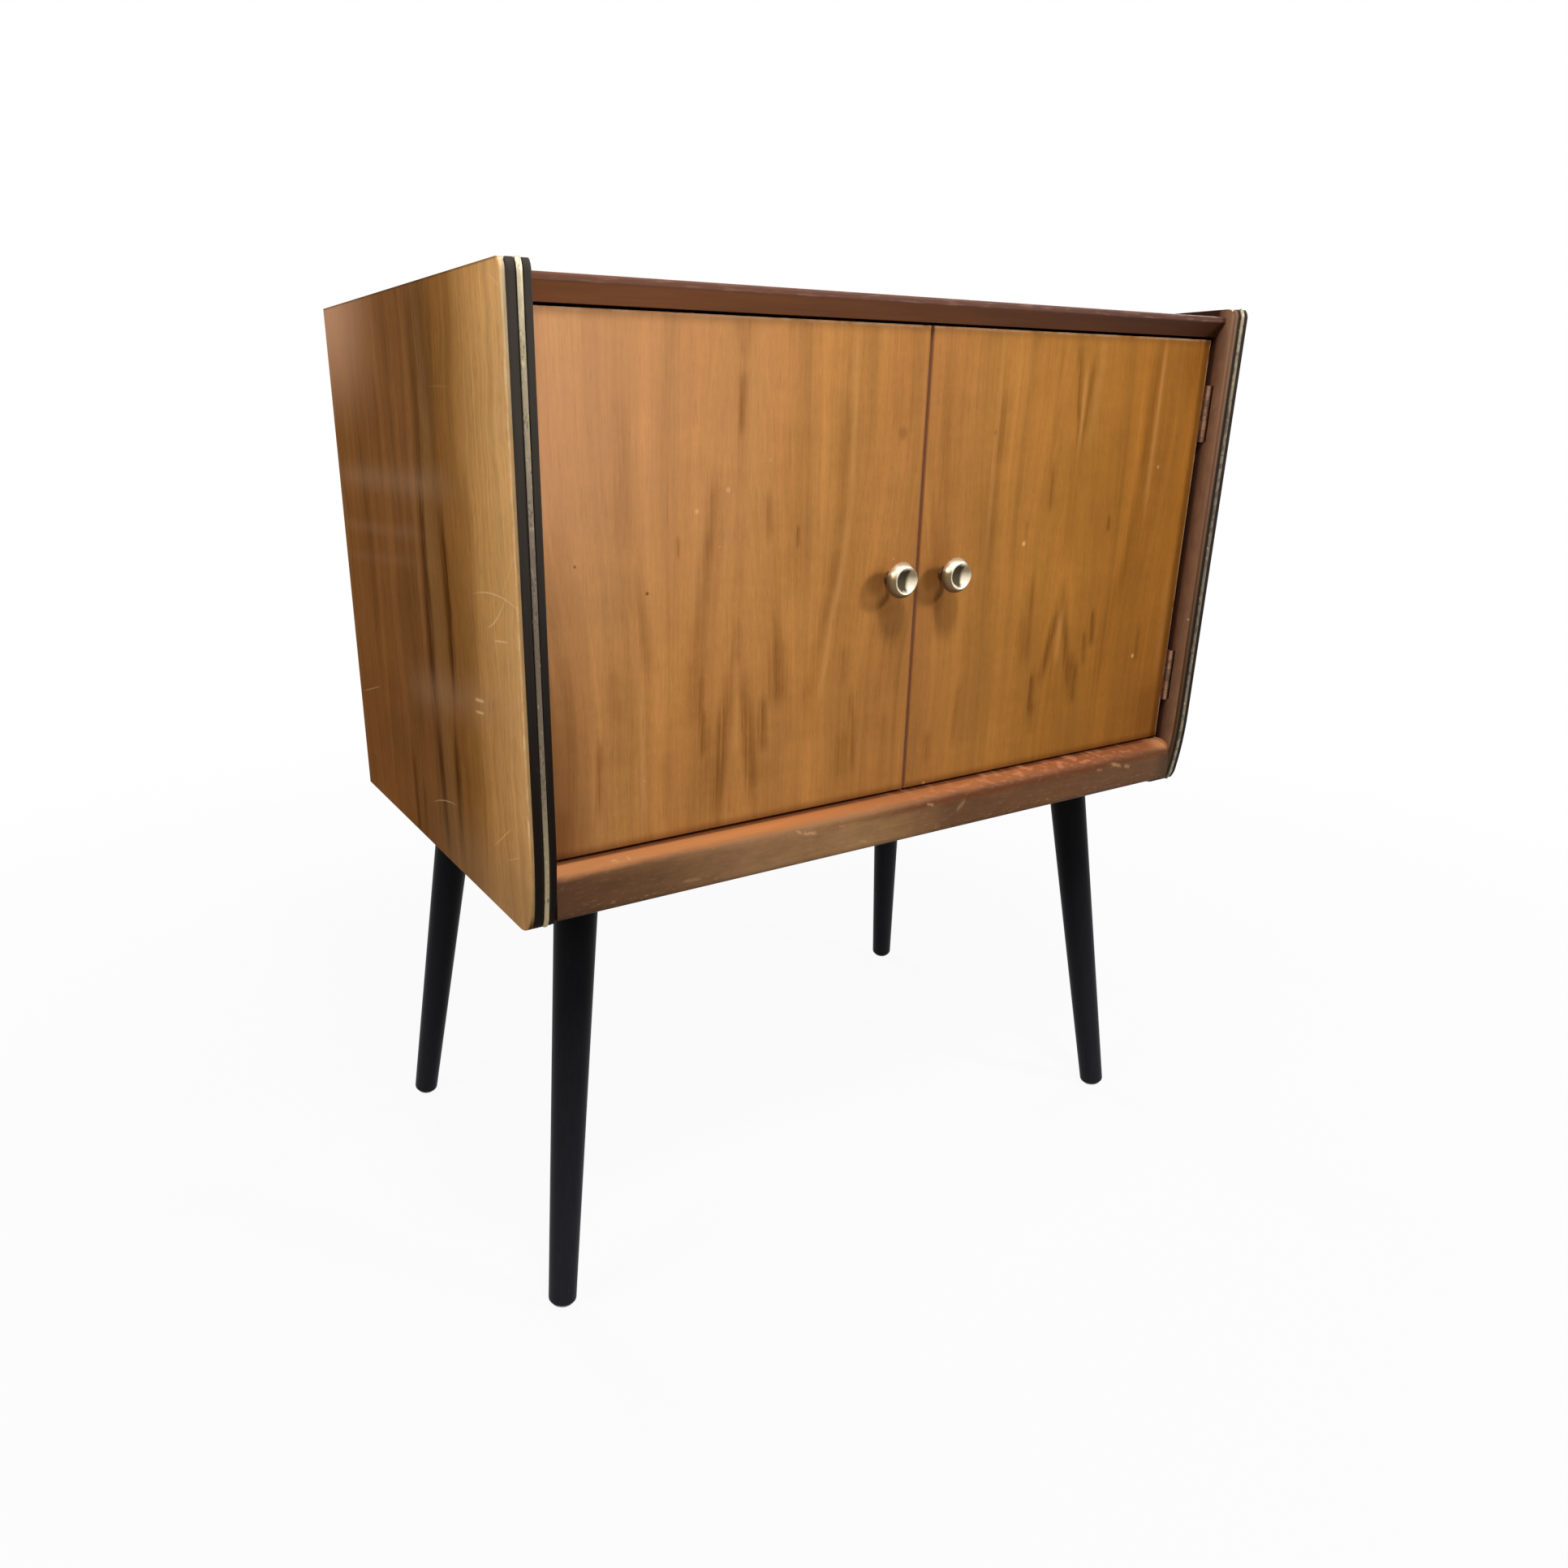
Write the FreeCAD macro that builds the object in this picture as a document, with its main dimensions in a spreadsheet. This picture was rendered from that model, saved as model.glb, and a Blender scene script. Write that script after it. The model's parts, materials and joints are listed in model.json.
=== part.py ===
"""Record cabinet: a veneered box with two inset hinged doors on four splayed, tapered legs.

Millimetres, +Z up, +X to the right seen from the front, +Y to the back. The origin is on the
floor, under the middle of the cabinet. The right half is built from sketches and primitives,
and the left half is its mirror image in the YZ plane.
"""
import FreeCAD, Part
import math
import os
import re

import Sketcher
from FreeCAD import Placement, Rotation, Vector

os.makedirs("parts", exist_ok=True)
doc = FreeCAD.newDocument("record_cabinet")

# ---------------------------------------------------------------- driving dimensions
SIZES = {
    # carcass
    "overall_width": 610,
    "floor_clearance": 316,
    "side_height": 384,
    "side_depth": 368,
    "side_thickness": 17,
    "front_curve_radius": 300,
    "front_curve_height": 65,
    "corner_radius": 18,
    "top_corner_radius": 7,
    "arris_radius": 0.8,
    "top_drop": 5.5,
    "top_thickness": 14,
    "bottom_rise": 25,
    "bottom_thickness": 17,
    "top_rail_setback": 6.5,
    "top_rail_depth": 22,
    "top_rail_nose": 4,
    "top_rail_nose_radius": 1.6,
    "bottom_rail_setback": 1,
    "bottom_rail_depth": 20,
    "bottom_rail_rise": 9,
    "bottom_rail_nose_radius": 12,
    "bottom_rail_arris_radius": 2,
    # back panel in its rebates
    "rebate_width": 8,
    "rebate_depth": 4,
    "back_thickness": 3.2,
    "back_edge_gap": 0.5,
    "pin_nail_radius": 0.7,
    "pin_nail_length": 15,
    "pin_nail_head_radius": 1.5,
    "pin_nail_head_height": 0.5,
    "pin_nail_margin": 40,
    # edging moulding and its bead
    "edging_width": 14,
    "edging_thickness": 2.2,
    "edging_edge_radius": 1,
    "edging_top_wrap": 45,
    "edging_bottom_wrap": 35,
    "edging_projection": 3.2,
    "bead_width": 3.7,
    "bead_groove_depth": 1.2,
    "bead_side_clearance": 0.4,
    "bead_edge_radius": 1.4,
    # dowels and glue blocks
    "dowel_radius": 3,
    "dowel_length": 26,
    "dowel_in_side": 10,
    "dowel_margin": 45,
    "rail_dowel_pitch": 12,
    "glue_block_leg": 14,
    "glue_block_length": 70,
    "glue_block_pitch": 160,
    # record dividers
    "divider_thickness": 4,
    "divider_setback": 55,
    "groove_depth": 4,
    "groove_clearance": 0.1,
    # doors
    "door_setback": 15,
    "door_thickness": 16,
    "door_gap_top": 1.8,
    "door_gap_bottom": 1.7,
    "door_gap_side": 2.4,
    "door_gap_centre": 2,
    # butt hinges
    "hinge_length": 42,
    "hinge_from_door_end": 54.5,
    "hinge_proud": 2.5,
    "leaf_width": 15,
    "leaf_thickness": 1.3,
    "leaf_gap": 0.8,
    "leaf_recess_clearance": 0.05,
    "knuckle_radius": 2.3,
    "knuckle_clearance": 0.3,
    "barrel_recess_radius": 3.4,
    "hinge_pin_radius": 1.2,
    "hinge_pin_clearance": 0.05,
    "leaf_screw_row": 9,
    "leaf_screw_pitch": 13,
    "leaf_screw_radius": 1.5,
    "leaf_screw_head_radius": 2.6,
    "leaf_screw_length": 12,
    # knobs
    "knob_from_door_edge": 23.7,
    "knob_length": 17.5,
    "knob_radius": 12.5,
    "knob_base_radius": 5.6,
    "knob_neck_radius": 3.9,
    "knob_dish_depth": 4.6,
    "knob_dish_radius": 10.2,
    "knob_thread_depth": 8,
    "knob_screw_radius": 2,
    "knob_screw_head_radius": 3.8,
    "knob_screw_head_height": 2.2,
    # magnetic catches and strikes
    "catch_from_centre": 40,
    "catch_gap": 0.3,
    "catch_flange_length": 46,
    "catch_flange_thickness": 3,
    "catch_block_length": 28,
    "catch_depth": 14,
    "catch_height": 13,
    "catch_wall": 1.8,
    "catch_inset": 0.8,
    "catch_screw_pitch": 37,
    "magnet_thickness": 5,
    "pole_plate_thickness": 1.6,
    "strike_length": 38,
    "strike_height": 10,
    "strike_thickness": 1.2,
    "small_screw_radius": 1.5,
    "small_screw_head_radius": 2.8,
    "small_screw_length": 10,
    # legs, glides and angled plates
    "leg_splay_side": 7.6,
    "leg_splay_front": 7.2,
    "leg_from_side": 48,
    "leg_from_panel_end": 53,
    "leg_top_radius": 16,
    "leg_foot_radius": 10.3,
    "leg_foot_rounding": 3.6,
    "glide_dome_radius": 14,
    "glide_radius": 7.5,
    "glide_rim": 1,
    "glide_nail_radius": 1.2,
    "glide_nail_length": 12,
    "plate_size": 64,
    "plate_thickness": 2.5,
    "plate_screw_inset": 8,
    "boss_radius": 9,
    "boss_length": 9,
    "bolt_radius": 4,
    "bolt_in_leg": 35,
    "plate_screw_radius": 2,
    "plate_screw_head_radius": 3.8,
    "plate_screw_length": 15,
    # line-to-line joints: glue, thread and drive fits
    "joint_clearance": 0.05,
}

sheet = doc.addObject("Spreadsheet::Sheet", "Sizes")
for row, (alias, size) in enumerate(SIZES.items(), start=1):
    sheet.set(f"A{row}", alias)
    sheet.set(f"B{row}", str(size))
    sheet.setAlias(f"B{row}", alias)
doc.recompute()


def bind(text):
    """Put the sheet's name before each size named in an expression."""
    return re.sub(r"[a-z][a-z_]+", lambda m: "Sizes." + m[0] if m[0] in SIZES else m[0], text)


def value(text):
    """The number that an expression of sizes comes to."""
    result = sheet.evalExpression(bind(text))
    return float(getattr(result, "Value", result))


# ---------------------------------------------------------------- places, as expressions of sizes
FRONT = "((edging_projection - side_depth) / 2)"
BACK = "((edging_projection + side_depth) / 2)"
INNER = "(overall_width / 2 - side_thickness)"
SIDE_TOP = "(floor_clearance + side_height)"
TOP_FACE = f"({SIDE_TOP} - top_drop)"
TOP_UNDERSIDE = f"({TOP_FACE} - top_thickness)"
BOTTOM_UNDERSIDE = "(floor_clearance + bottom_rise)"
BOTTOM_FACE = f"({BOTTOM_UNDERSIDE} + bottom_thickness)"
BACK_PANEL_FRONT = f"({BACK} - rebate_depth)"
TOP_RAIL_FRONT = f"({FRONT} + top_rail_setback)"
TOP_RAIL_BACK = f"({TOP_RAIL_FRONT} + top_rail_depth)"
BOTTOM_RAIL_FRONT = f"({FRONT} + bottom_rail_setback)"
BOTTOM_RAIL_BACK = f"({BOTTOM_RAIL_FRONT} + bottom_rail_depth)"
BOTTOM_RAIL_UNDERSIDE = "(floor_clearance + bottom_rail_rise)"

DOOR_FRONT = f"({FRONT} + door_setback)"
DOOR_BACK = f"({DOOR_FRONT} + door_thickness)"
DOOR_BOTTOM = f"({BOTTOM_FACE} + door_gap_bottom)"
DOOR_TOP = f"({TOP_UNDERSIDE} - door_gap_top)"
DOOR_OUTER = f"({INNER} - door_gap_side)"
DOOR_INNER = "(door_gap_centre / 2)"

HINGE_X = f"({INNER} - door_gap_side / 2)"
HINGE_Y = f"({DOOR_FRONT} - hinge_proud)"
HINGE_LEVELS = {
    "upper": f"({DOOR_TOP} - hinge_from_door_end)",
    "lower": f"({DOOR_BOTTOM} + hinge_from_door_end)",
}
LEAF_FACE = "(leaf_gap / 2)"
LEAF_BACK = "(leaf_gap / 2 + leaf_thickness)"
LEAF_RECESS = f"({LEAF_BACK} - door_gap_side / 2 + leaf_recess_clearance)"
SWEPT_RADIUS = "(knuckle_radius + knuckle_clearance)"
KNUCKLE = "(hinge_length / 5)"

KNOB_X = f"({DOOR_INNER} + knob_from_door_edge)"
KNOB_Z = f"(({DOOR_BOTTOM} + {DOOR_TOP}) / 2)"

POLE_FACE = f"({DOOR_BACK} + strike_thickness + catch_gap)"
CATCH_FRONT = f"({POLE_FACE} + catch_inset)"
MAGNET_LENGTH = "(catch_block_length - 2 * catch_wall - 2 * joint_clearance)"
MAGNET_PACK = "(magnet_thickness + 2 * pole_plate_thickness)"
MAGNET_Z = f"({TOP_UNDERSIDE} - (catch_height + catch_flange_thickness) / 2)"

BAY_WIDTH = f"((2 * {INNER} - 2 * divider_thickness) / 3)"
DIVIDER_X = f"({BAY_WIDTH} / 2)"

LEG_TILT = "atan(sqrt(tan(leg_splay_side)^2 + tan(leg_splay_front)^2))"
PLATE_X = f"({INNER} - leg_from_side)"
PANEL_MIDDLE = f"(({BOTTOM_RAIL_BACK} + {BACK_PANEL_FRONT}) / 2)"
PLATE_Y = f"({BOTTOM_RAIL_BACK} + leg_from_panel_end)"
PLATE_UNDERSIDE = f"({BOTTOM_UNDERSIDE} - plate_thickness)"
LEG_DROP = f"({PLATE_UNDERSIDE} - glide_dome_radius)"
FOOT_X = f"({PLATE_X} + {LEG_DROP} * tan(leg_splay_side))"
FOOT_Y = f"({PLATE_Y} - {LEG_DROP} * tan(leg_splay_front))"
LEG_TOP = f"({LEG_DROP} / cos({LEG_TILT}) - boss_length)"
GLIDE_FLAT = "(sqrt(glide_dome_radius^2 - glide_radius^2) - glide_rim)"


# ---------------------------------------------------------------- building helpers
nodes = []
PLANE_NORMALS = {"XY_Plane": 1, "YZ_Plane": 1, "XZ_Plane": -1}


def keep(thing, label):
    """List an object as a sub-part under its own label."""
    thing.Label = label
    nodes.append(thing)
    return thing


def constrain(sketch, kind, where, expression):
    """Add a driving dimension that reads its value from the sheet."""
    index = sketch.addConstraint(Sketcher.Constraint(kind, *where, value(expression)))
    sketch.setExpression(f"Constraints[{index}]", bind(expression))


def fix_point(sketch, geometry, point, across, up):
    """Hold a point of the sketch at a place given by two expressions."""
    constrain(sketch, "DistanceX", (-1, 1, geometry, point), across)
    constrain(sketch, "DistanceY", (-1, 1, geometry, point), up)


def join(sketch, first, second, kind="Coincident"):
    """Tie the end of one line or arc to the start of another."""
    sketch.addConstraint(Sketcher.Constraint(kind, *first, *second))


class Piece:
    """A sub-part made of sketched features, each bound to the sheet."""

    def __init__(self, label):
        self.body = keep(doc.addObject("PartDesign::Body", label), label)

    def sketch(self, plane, at):
        """Start a sketch on an origin plane of the body, moved to a place along its axis."""
        sketch = self.body.newObject("Sketcher::SketchObject", "outline")
        for datum in self.body.Origin.OriginFeatures:
            if datum.Role == plane:
                sketch.AttachmentSupport = [(datum, "")]
        sketch.MapMode = "FlatFace"
        sketch.setExpression(".AttachmentOffset.Base.z", bind(f"{PLANE_NORMALS[plane]} * ({at})"))
        return sketch

    def draw(self, plane, at, *outlines):
        """Sketch closed outlines: lists of corners, each a pair of expressions."""
        sketch = self.sketch(plane, at)
        for corners in outlines:
            first = sketch.GeometryCount
            points = [Vector(value(x), value(y), 0) for x, y in corners]
            for start, end in zip(points, points[1:] + points[:1]):
                sketch.addGeometry(Part.LineSegment(start, end), False)
            for i, (x, y) in enumerate(corners):
                join(sketch, (first + i, 2), (first + (i + 1) % len(corners), 1))
                fix_point(sketch, first + i, 1, x, y)
        return sketch

    def circles(self, plane, at, centres, radius):
        """Sketch equal circles at centres given as pairs of expressions."""
        sketch = self.sketch(plane, at)
        for x, y in centres:
            circle = Part.Circle(Vector(value(x), value(y), 0), Vector(0, 0, 1), value(radius))
            index = sketch.addGeometry(circle, False)
            fix_point(sketch, index, 3, x, y)
            constrain(sketch, "Radius", (index,), radius)
        return sketch

    def feature(self, kind, sketch, length, toward):
        """Pad or pocket a sketch by a length, towards +1 or -1 along its axis, or 0 for both."""
        feature = self.body.newObject(f"PartDesign::{kind}", kind.lower())
        feature.Profile = sketch
        feature.setExpression("Length", bind(length))
        plane = sketch.AttachmentSupport[0][0].Role
        along = toward * PLANE_NORMALS[plane]
        feature.Reversed = along < 0 if kind == "Pad" else along > 0
        if toward == 0:
            feature.SideType = "Symmetric"
        return feature

    def pad(self, sketch, length, toward=1):
        return self.feature("Pad", sketch, length, toward)

    def pocket(self, sketch, length, toward=1):
        return self.feature("Pocket", sketch, length, toward)

    def revolve(self, corners):
        """Turn an outline of (radius, height) corners about the body's Z axis."""
        sketch = self.draw("XZ_Plane", "0", corners)
        turned = self.body.newObject("PartDesign::Revolution", "turned")
        turned.Profile = sketch
        turned.ReferenceAxis = (sketch, ["V_Axis"])
        turned.Angle = 360
        return turned

    def sink(self, x, centres, radius, depth, toward):
        """Countersinks for flush screws in a face across X, at (y, z) centres."""
        for y, z in centres:
            cone = self.body.newObject("PartDesign::SubtractiveCone", "countersink")
            for datum in self.body.Origin.OriginFeatures:
                if datum.Role == "YZ_Plane":
                    cone.AttachmentSupport = [(datum, "")]
            cone.MapMode = "FlatFace"
            narrow, wide = "Radius2", "Radius1"
            start = x
            if toward < 0:
                narrow, wide = wide, narrow
                start = f"({x} - {depth})"
            cone.setExpression(wide, bind(radius))
            cone.setExpression(narrow, bind(f"{radius} - {depth}"))
            cone.setExpression("Height", bind(depth))
            cone.setExpression(".AttachmentOffset.Base.x", bind(y))
            cone.setExpression(".AttachmentOffset.Base.y", bind(z))
            cone.setExpression(".AttachmentOffset.Base.z", bind(start))

    def round(self, radius, *places):
        """Round the edges whose ends all lie at one of the places, such as {"y": ..., "z": ...}."""
        doc.recompute()
        base = self.body.Tip
        names = []
        for number, edge in enumerate(base.Shape.Edges, start=1):
            for place in places:
                if all(
                    abs(getattr(vertex, axis.upper()) - value(at)) < 1e-4
                    for vertex in edge.Vertexes
                    for axis, at in place.items()
                ):
                    names.append(f"Edge{number}")
        fillet = self.body.newObject("PartDesign::Fillet", "rounding")
        fillet.Base = (base, names)
        fillet.setExpression("Radius", bind(radius))
        return fillet

    def place(self, position, rotation="rotation(vector(0; 0; 1); 0)"):
        """Bind the body's placement to a position and a rotation."""
        place = f"placement(vector({'; '.join(position)}); {rotation})"
        self.body.setExpression("Placement", bind(place))


def box(x, y, z):
    """Corner pairs of a rectangle: two of the ranges are given, the third is None."""
    across, up = [span for span in (x, y, z) if span]
    return [(across[0], up[0]), (across[1], up[0]), (across[1], up[1]), (across[0], up[1])]


def mirror(source, label, normal=Vector(1, 0, 0), base=Vector(0, 0, 0)):
    """A sub-part that is the mirror image of another."""
    image = doc.addObject("Part::Mirroring", label)
    image.Source = source
    image.Normal = normal
    image.Base = base
    return keep(image, label)


def left_of(piece):
    """The left-hand twin of a right-hand sub-part."""
    return mirror(piece.body, piece.body.Label.replace("right", "left"))


def group(label, shapes):
    """One node holding several identical, separate solids."""
    holder = doc.addObject("Part::Feature", label)
    holder.Shape = Part.makeCompound(shapes)
    holder.Placement = Placement()
    return keep(holder, label)


def copies(shape, places, direction):
    """Copies of a shape made along +Z, at each place and turned to a direction."""
    turn = Rotation(Vector(0, 0, 1), Vector(*direction))
    made = []
    for place in places:
        copy = shape.copy()
        copy.Placement = Placement(Vector(*[value(part) for part in place]), turn)
        made.append(copy)
    return made


def flush_screw(radius, head_radius, length):
    """A countersunk screw whose head is flush with the origin and whose shank runs to +Z."""
    gap = value("joint_clearance")
    head = Part.makeCone(head_radius, radius, head_radius - radius)
    shank = Part.makeCylinder(radius - gap, length)
    return head.fuse(shank).removeSplitter()


def raised_screw(radius, head_radius, head_height, length):
    """A screw whose head stands below the origin and whose shank runs to +Z."""
    head = Part.makeCylinder(head_radius, head_height, Vector(0, 0, -head_height))
    head = head.makeFillet(0.6 * head_height, [head.Edges[2]])
    shank = Part.makeCylinder(radius - value("joint_clearance"), length)
    return head.fuse(shank).removeSplitter()


def mirrored(places):
    """The places on the right, followed by their mirror images on the left."""
    return list(places) + [(f"-{x}", y, z) for x, y, z in places]


# ---------------------------------------------------------------- front edge of the side panels
TOP_CORNER_CENTRE = (f"({FRONT} + top_corner_radius)", f"({SIDE_TOP} - top_corner_radius)")
CURVE_CENTRE = (f"({FRONT} + front_curve_radius)", "(floor_clearance + front_curve_height)")
CORNER_CENTRE = (
    f"({FRONT} + front_curve_radius - sqrt((front_curve_radius - corner_radius)^2"
    " - (front_curve_height - corner_radius)^2))",
    "(floor_clearance + corner_radius)",
)


def front_edge(sketch, offset, first_angle, last_angle):
    """Draw the side panel's front edge at an offset: corner, straight, gentle curve, corner.

    The chain runs downwards. It starts on the top corner, where its radius stands first_angle
    degrees above the horizontal, and stops on the bottom corner, last_angle degrees below it.
    Returns the first and the last arc.
    """
    away = value(offset)
    edge = value(FRONT) - away
    centres = [
        Vector(value(y), value(z), 0) for y, z in (TOP_CORNER_CENTRE, CURVE_CENTRE, CORNER_CENTRE)
    ]
    top_centre, curve_centre, corner_centre = centres
    step = curve_centre - corner_centre
    start = math.pi - math.radians(value(first_angle))
    meet = math.pi + math.atan2(step.y, step.x)
    stop = math.pi + math.radians(value(last_angle))
    line = sketch.addGeometry(
        Part.LineSegment(Vector(edge, top_centre.y, 0), Vector(edge, curve_centre.y, 0)), False
    )
    arcs = []
    for centre, radius, first, last in (
        (top_centre, "top_corner_radius", start, math.pi),
        (curve_centre, "front_curve_radius", math.pi, meet),
        (corner_centre, "corner_radius", meet, stop),
    ):
        circle = Part.Circle(centre, Vector(0, 0, 1), value(radius) + away)
        arcs.append(sketch.addGeometry(Part.ArcOfCircle(circle, first, last), False))
    top, curve, corner = arcs
    join(sketch, (top, 2), (line, 1), "Tangent")
    join(sketch, (line, 2), (curve, 1), "Tangent")
    join(sketch, (curve, 2), (corner, 1), "Tangent")
    sketch.addConstraint(Sketcher.Constraint("Vertical", line))
    constrain(sketch, "DistanceX", (-1, 1, line, 1), f"{FRONT} - ({offset})")
    fix_point(sketch, top, 3, *TOP_CORNER_CENTRE)
    fix_point(sketch, curve, 3, *CURVE_CENTRE)
    fix_point(sketch, corner, 3, *CORNER_CENTRE)
    begin = f"{TOP_CORNER_CENTRE[0]} - (top_corner_radius + {offset}) * cos({first_angle})"
    constrain(sketch, "DistanceX", (-1, 1, top, 1), begin)
    end = f"{CORNER_CENTRE[0]} - (corner_radius + {offset}) * cos({last_angle})"
    constrain(sketch, "DistanceX", (-1, 1, corner, 2), end)
    return top, corner


def connect(sketch, first, second):
    """Draw a line from the end of one element to the start of another."""
    start = sketch.getPoint(*first)
    end = sketch.getPoint(*second)
    line = sketch.addGeometry(Part.LineSegment(start, end), False)
    join(sketch, first, (line, 1))
    join(sketch, (line, 2), second)
    return line


def front_band(piece, at, inner, outer):
    """Sketch the strip between two offsets of the side panel's front edge."""
    sketch = piece.sketch("YZ_Plane", at)
    wraps = ("edging_top_wrap", "edging_bottom_wrap")
    outer_top, outer_corner = front_edge(sketch, outer, *wraps)
    inner_top, inner_corner = front_edge(sketch, inner, *wraps)
    connect(sketch, (outer_corner, 2), (inner_corner, 2))
    connect(sketch, (inner_top, 1), (outer_top, 1))
    return sketch


# ---------------------------------------------------------------- shared hole patterns
def leaf_screw_places(level):
    """(y, z) of the three screws in a hinge leaf."""
    row = f"{HINGE_Y} + leaf_screw_row"
    middle = HINGE_LEVELS[level]
    return [(row, f"{middle} + {step} * leaf_screw_pitch") for step in (-1, 0, 1)]


TOP_MIDDLE = f"({TOP_UNDERSIDE} + top_thickness / 2)"
BOTTOM_MIDDLE = f"({BOTTOM_UNDERSIDE} + bottom_thickness / 2)"
DOWELS = {
    "top_panel": [
        (f"{TOP_RAIL_BACK} + dowel_margin", TOP_MIDDLE),
        (f"({TOP_RAIL_BACK} + {BACK_PANEL_FRONT}) / 2", TOP_MIDDLE),
        (f"{BACK_PANEL_FRONT} - dowel_margin", TOP_MIDDLE),
    ],
    "bottom_panel": [
        (f"{BOTTOM_RAIL_BACK} + dowel_margin", BOTTOM_MIDDLE),
        (f"({BOTTOM_RAIL_BACK} + {BACK_PANEL_FRONT}) / 2", BOTTOM_MIDDLE),
        (f"{BACK_PANEL_FRONT} - dowel_margin", BOTTOM_MIDDLE),
    ],
    "top_rail": [
        (f"({DOOR_FRONT} + {TOP_RAIL_BACK}) / 2", TOP_MIDDLE),
    ],
    "bottom_rail": [
        (
            f"({BOTTOM_RAIL_FRONT} + {BOTTOM_RAIL_BACK}) / 2",
            f"({BOTTOM_RAIL_UNDERSIDE} + {BOTTOM_FACE}) / 2 + {step} * rail_dowel_pitch / 2",
        )
        for step in (-1, 1)
    ],
}
DOWEL_HOLE = "dowel_radius + joint_clearance"
DOWEL_PLACES = [place for places in DOWELS.values() for place in places]

PIN_STEPS = (-2, -1, 0, 1, 2)
PIN_PITCH = f"(({INNER} - pin_nail_margin) / 2)"
TOP_PINS = [(f"{step} * {PIN_PITCH}", TOP_MIDDLE) for step in PIN_STEPS]
BOTTOM_PINS = [(f"{step} * {PIN_PITCH}", BOTTOM_MIDDLE) for step in PIN_STEPS]
SIDE_PIN_X = f"({INNER} + rebate_width / 2)"
SIDE_PINS = [
    (SIDE_PIN_X, f"{BOTTOM_FACE} + pin_nail_margin"),
    (SIDE_PIN_X, f"({BOTTOM_FACE} + {TOP_UNDERSIDE}) / 2"),
    (SIDE_PIN_X, f"{TOP_UNDERSIDE} - pin_nail_margin"),
]
PIN_HOLE = "pin_nail_radius + joint_clearance"
PIN_DEPTH = "pin_nail_length"

PLATE_SCREW_STEP = "(plate_size / 2 - plate_screw_inset)"


def leg_corners():
    """Name, x sign and y sign of each leg's corner; -1 in y is the front."""
    for end, depth_sign in (("front", -1), ("back", 1)):
        for side, side_sign in (("right", 1), ("left", -1)):
            yield f"{end}_{side}", side_sign, depth_sign


def at_corner(side_sign, depth_sign, x, y):
    """Mirror a place given for the front right corner to another corner of the bottom panel."""
    if depth_sign > 0:
        y = f"(2 * {PANEL_MIDDLE} - {y})"
    return f"{side_sign} * {x}", y


def plate_screw_places(x, y):
    """(x, y) of the four screws of a leg plate centred at x, y."""
    return [
        (f"{x} + {across} * {PLATE_SCREW_STEP}", f"{y} + {along} * {PLATE_SCREW_STEP}")
        for across in (-1, 1)
        for along in (-1, 1)
    ]


# ---------------------------------------------------------------- carcass
def side_panel():
    panel = Piece("right_side_panel")
    sketch = panel.sketch("YZ_Plane", INNER)
    top, corner = front_edge(sketch, "0", "90", "90")
    back = sketch.addGeometry(
        Part.LineSegment(
            Vector(value(BACK), value("floor_clearance"), 0), Vector(value(BACK), value(SIDE_TOP), 0)
        ),
        False,
    )
    fix_point(sketch, back, 1, BACK, "floor_clearance")
    fix_point(sketch, back, 2, BACK, SIDE_TOP)
    connect(sketch, (corner, 2), (back, 1))
    connect(sketch, (back, 2), (top, 1))
    panel.pad(sketch, "side_thickness")
    panel.round("arris_radius", {"x": "overall_width / 2", "y": FRONT})
    rebate = box((INNER, f"{INNER} + rebate_width"), (BACK_PANEL_FRONT, BACK), None)
    panel.pocket(panel.draw("XY_Plane", SIDE_TOP, rebate), "side_height", -1)

    half = "(hinge_length / 2 + leaf_recess_clearance)"
    depth = (HINGE_Y, f"{HINGE_Y} + leaf_width + leaf_recess_clearance")
    recesses = [box(None, depth, (f"{z} - {half}", f"{z} + {half}")) for z in HINGE_LEVELS.values()]
    panel.pocket(panel.draw("YZ_Plane", INNER, *recesses), LEAF_RECESS)
    for level in HINGE_LEVELS.values():
        barrel = panel.circles("XY_Plane", level, [(HINGE_X, HINGE_Y)], "barrel_recess_radius")
        panel.pocket(barrel, f"2 * {half}", 0)
    screws = [place for level in HINGE_LEVELS for place in leaf_screw_places(level)]
    drill = panel.circles("YZ_Plane", INNER, screws, "leaf_screw_radius")
    panel.pocket(drill, "leaf_screw_length + joint_clearance")

    drill = panel.circles("YZ_Plane", INNER, DOWEL_PLACES, DOWEL_HOLE)
    panel.pocket(drill, "dowel_in_side + joint_clearance")
    drill = panel.circles("XZ_Plane", BACK_PANEL_FRONT, SIDE_PINS, PIN_HOLE)
    panel.pocket(drill, PIN_DEPTH, -1)
    left_of(panel)


def edging():
    """Black moulding with a bead let into a groove along its middle."""
    strip = Piece("right_edging_strip")
    strip.pad(front_band(strip, INNER, "0", "edging_thickness"), "edging_width")
    outer_edge = {"y": f"{FRONT} - edging_thickness"}
    strip.round("edging_edge_radius", {"x": INNER, **outer_edge},
                {"x": f"{INNER} + edging_width", **outer_edge})
    groove_floor = "edging_thickness - bead_groove_depth"
    groove_width = "(bead_width + 2 * bead_side_clearance)"
    groove_start = f"{INNER} + (edging_width - {groove_width}) / 2"
    groove = front_band(strip, groove_start, groove_floor, "edging_thickness + 1")
    strip.pocket(groove, groove_width)
    left_of(strip)

    bead = Piece("right_edging_bead")
    bead_start = f"{INNER} + (edging_width - bead_width) / 2"
    bead.pad(front_band(bead, bead_start, groove_floor, "edging_projection"), "bead_width")
    crown = {"y": f"{FRONT} - edging_projection"}
    bead.round("bead_edge_radius", {"x": bead_start, **crown},
               {"x": f"{bead_start} + bead_width", **crown})
    left_of(bead)


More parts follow.
